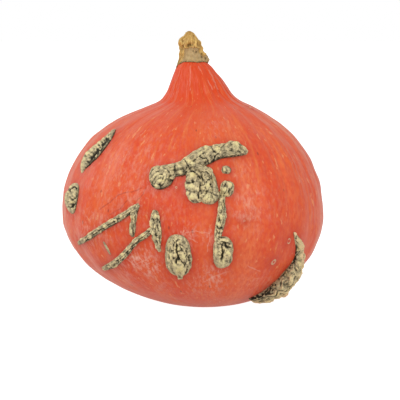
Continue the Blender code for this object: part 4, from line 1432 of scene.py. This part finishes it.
# Knob tops and lit sides get a painted highlight, peach on the crescent.
colour = paint(tree, colour, YELLOW_HIGHLIGHT, times(tree, times(tree, stored(tree, "painted_highlight"), open_share), 0.85))
peach_mask = times(tree, times(tree, stored(tree, "painted_highlight"), stored(tree, "peach_highlight")), open_share)
colour = paint(tree, colour, PEACH_HIGHLIGHT, times(tree, peach_mask, 1.3))
stain = effect(tree, blotches, Place=place, Scale=180, Detail=2, Low=0.55, High=0.7)
colour = paint(tree, colour, OCHRE, times(tree, times(tree, stain, open_share), 0.5))
speck_mask = effect(tree, specks, Place=place, Scale=620, Size=0.3, Share=0.4)
colour = paint(tree, colour, DARK_SPECK, times(tree, speck_mask, 0.4))
tree.links.new(colour, shader.inputs["Base Color"])
tree.links.new(between(tree, crumb, 0.7, 0.92), shader.inputs["Roughness"])
raised(tree, shader, plus(tree, crumb, times(tree, wobble, 0.8)), 0.22, 0.9)
shader.inputs["Specular IOR Level"].default_value = 0.25
for piece in cork:
    piece.data.materials.append(cork_material)
print(cork_material.name, len(tree.nodes), "nodes")

# %% Material of the small marks
MARK_PINK = (0.62, 0.30, 0.19)
MARK_TAN = (0.62, 0.45, 0.25)

mark_material, tree, shader = new_material("healed_mark")
place = put(tree, "ShaderNodeTexCoord").outputs["Object"]
patch = effect(tree, blotches, Place=place, Scale=900, Detail=3, Low=0.4, High=0.6)
tree.links.new(paint(tree, MARK_PINK, MARK_TAN, patch), shader.inputs["Base Color"])
tree.links.new(between(tree, patch, 0.6, 0.8), shader.inputs["Roughness"])
raised(tree, shader, patch, 0.15, 0.8)
small_marks.data.materials.append(mark_material)
print(mark_material.name, len(tree.nodes), "nodes")

# %% [markdown]
# ## The stem's finish
# The husk is straw gold with darker threads between its fibres, and the lower half is grey-tan. Pits, and
# the cuts and hollows between its chunks, get painted shade, nearly black in the pits. Threads are noise that
# is stretched up the stem.

# %% Stem material
STRAW = (0.82, 0.54, 0.17)
GOLD_BROWN = (0.48, 0.26, 0.06)
STEM_GREY = (0.44, 0.31, 0.15)
STEM_LIGHT = (0.64, 0.47, 0.23)
PIT_SHADE = (0.05, 0.028, 0.01)

stem_material, tree, shader = new_material("dry_stem")
fibre_place = stored(tree, "fibre", "Vector")
upward_place = stretched(tree, fibre_place, 1, 1, 0.25)
threads = effect(tree, blotches, Place=upward_place, Scale=1.2, Detail=4, Low=0.35, High=0.68)
clumps = effect(tree, blotches, Place=fibre_place, Scale=0.5, Detail=3, Low=0.4, High=0.65)
husk_colour = paint(tree, GOLD_BROWN, STRAW, threads)
husk_colour = paint(tree, husk_colour, STEM_LIGHT, times(tree, clumps, 0.2))
low_colour = paint(tree, STEM_GREY, STEM_LIGHT, times(tree, clumps, 0.6))
low_colour = paint(tree, low_colour, GOLD_BROWN, times(tree, threads, 0.25))
colour = paint(tree, low_colour, husk_colour, stored(tree, "husk"))
colour = paint(tree, colour, PIT_SHADE, times(tree, stored(tree, "painted_shade"), 0.7))
tree.links.new(colour, shader.inputs["Base Color"])
tree.links.new(between(tree, threads, 0.68, 0.85), shader.inputs["Roughness"])
raised(tree, shader, threads, 0.25, 0.9)
shader.inputs["Specular IOR Level"].default_value = 0.3
stem.data.materials.append(stem_material)
print(stem_material.name, len(tree.nodes), "nodes")

# %% [markdown]
# ## Which piece stands for which solid
# Every piece rides with the squash's one body. The rind and the cork stand for the fruit's solid, because
# the cork grew out of the rind, and the stem stands for the stem's.

# %% Tie the pieces to the solids
for piece in [skin, small_marks] + cork:
    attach(piece, "root")
    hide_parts("fruit")
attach(stem, "root")
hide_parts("stem")
print(len(cork) + 3, "pieces")

# %% [markdown]
# ## Floor and light
# The squash stands on a plain pale floor in a white room, so light reaches it softly from all round. A
# large soft light from the upper left and front shapes it, a tall soft one on the right lays a faint shine
# down its side, a long low one lights it under its belly, and one behind on the left edges the shoulder.

# %% Floor
FLOOR_GREY = (0.34, 0.34, 0.34)
FLOOR_PALE = (0.36, 0.36, 0.36)
FLOOR_GLOW = 0.42
FLOOR_GLOW_SEEN = 1.0

bpy.ops.object.select_all(action="DESELECT")
bpy.ops.mesh.primitive_plane_add(size=30)
floor = bpy.context.object
floor.name = "floor"
floor_material, tree, shader = new_material("pale_floor")
place = put(tree, "ShaderNodeTexCoord").outputs["Object"]
grain = effect(tree, blotches, Place=place, Scale=40, Low=0.3, High=0.7)
tree.links.new(paint(tree, FLOOR_GREY, FLOOR_PALE, grain), shader.inputs["Base Color"])
shader.inputs["Roughness"].default_value = 0.9
shader.inputs["Emission Color"].default_value = (1, 1, 1, 1)
seen = put(tree, "ShaderNodeLightPath").outputs["Is Camera Ray"]
tree.links.new(between(tree, seen, FLOOR_GLOW, FLOOR_GLOW_SEEN), shader.inputs["Emission Strength"])
floor.data.materials.append(floor_material)
print("floor at", floor.location.z, "m")

# %% Light of the room
ROOM_LIGHT = 0.69
BACKDROP_LIGHT = 1.0

world = bpy.data.worlds.new("white_room")
bpy.context.scene.world = world
world.use_nodes = True
tree = world.node_tree
room = tree.nodes["Background"]
room.inputs["Color"].default_value = (1, 1, 1, 1)
room.inputs["Strength"].default_value = ROOM_LIGHT
backdrop = put(tree, "ShaderNodeBackground", {"Color": (1, 1, 1, 1), "Strength": BACKDROP_LIGHT})
seen = put(tree, "ShaderNodeLightPath").outputs["Is Camera Ray"]
mix = put(tree, "ShaderNodeMixShader", {0: seen, 1: room.outputs[0], 2: backdrop.outputs[0]})
tree.links.new(mix.outputs[0], tree.nodes["World Output"].inputs["Surface"])
bpy.context.scene.view_settings.view_transform = "Standard"
print("room light", ROOM_LIGHT)

# %% Lamps: place in metres, size, power
LIGHTS_AIM = Vector((0, 0, 0.08))
LIGHTS = {
    "key": ((-0.6, -0.9, 1.05), (0.7, 0.7), 6.2),
    "side": ((1.05, -0.85, 0.4), (0.4, 0.9), 2.6),
    "low": ((0.15, -1.15, 0.13), (1.6, 0.2), 0.8),
    "rim": ((-1.25, 0.45, 0.8), (0.5, 0.9), 3),
}

for name, (location, size, power) in LIGHTS.items():
    bpy.ops.object.light_add(type="AREA", location=location)
    light = bpy.context.object
    light.name = name
    light.rotation_euler = (LIGHTS_AIM - light.location).to_track_quat("-Z", "Y").to_euler()
    light.data.shape = "RECTANGLE"
    light.data.size, light.data.size_y = size
    light.data.energy = power
print("lights:", list(LIGHTS))
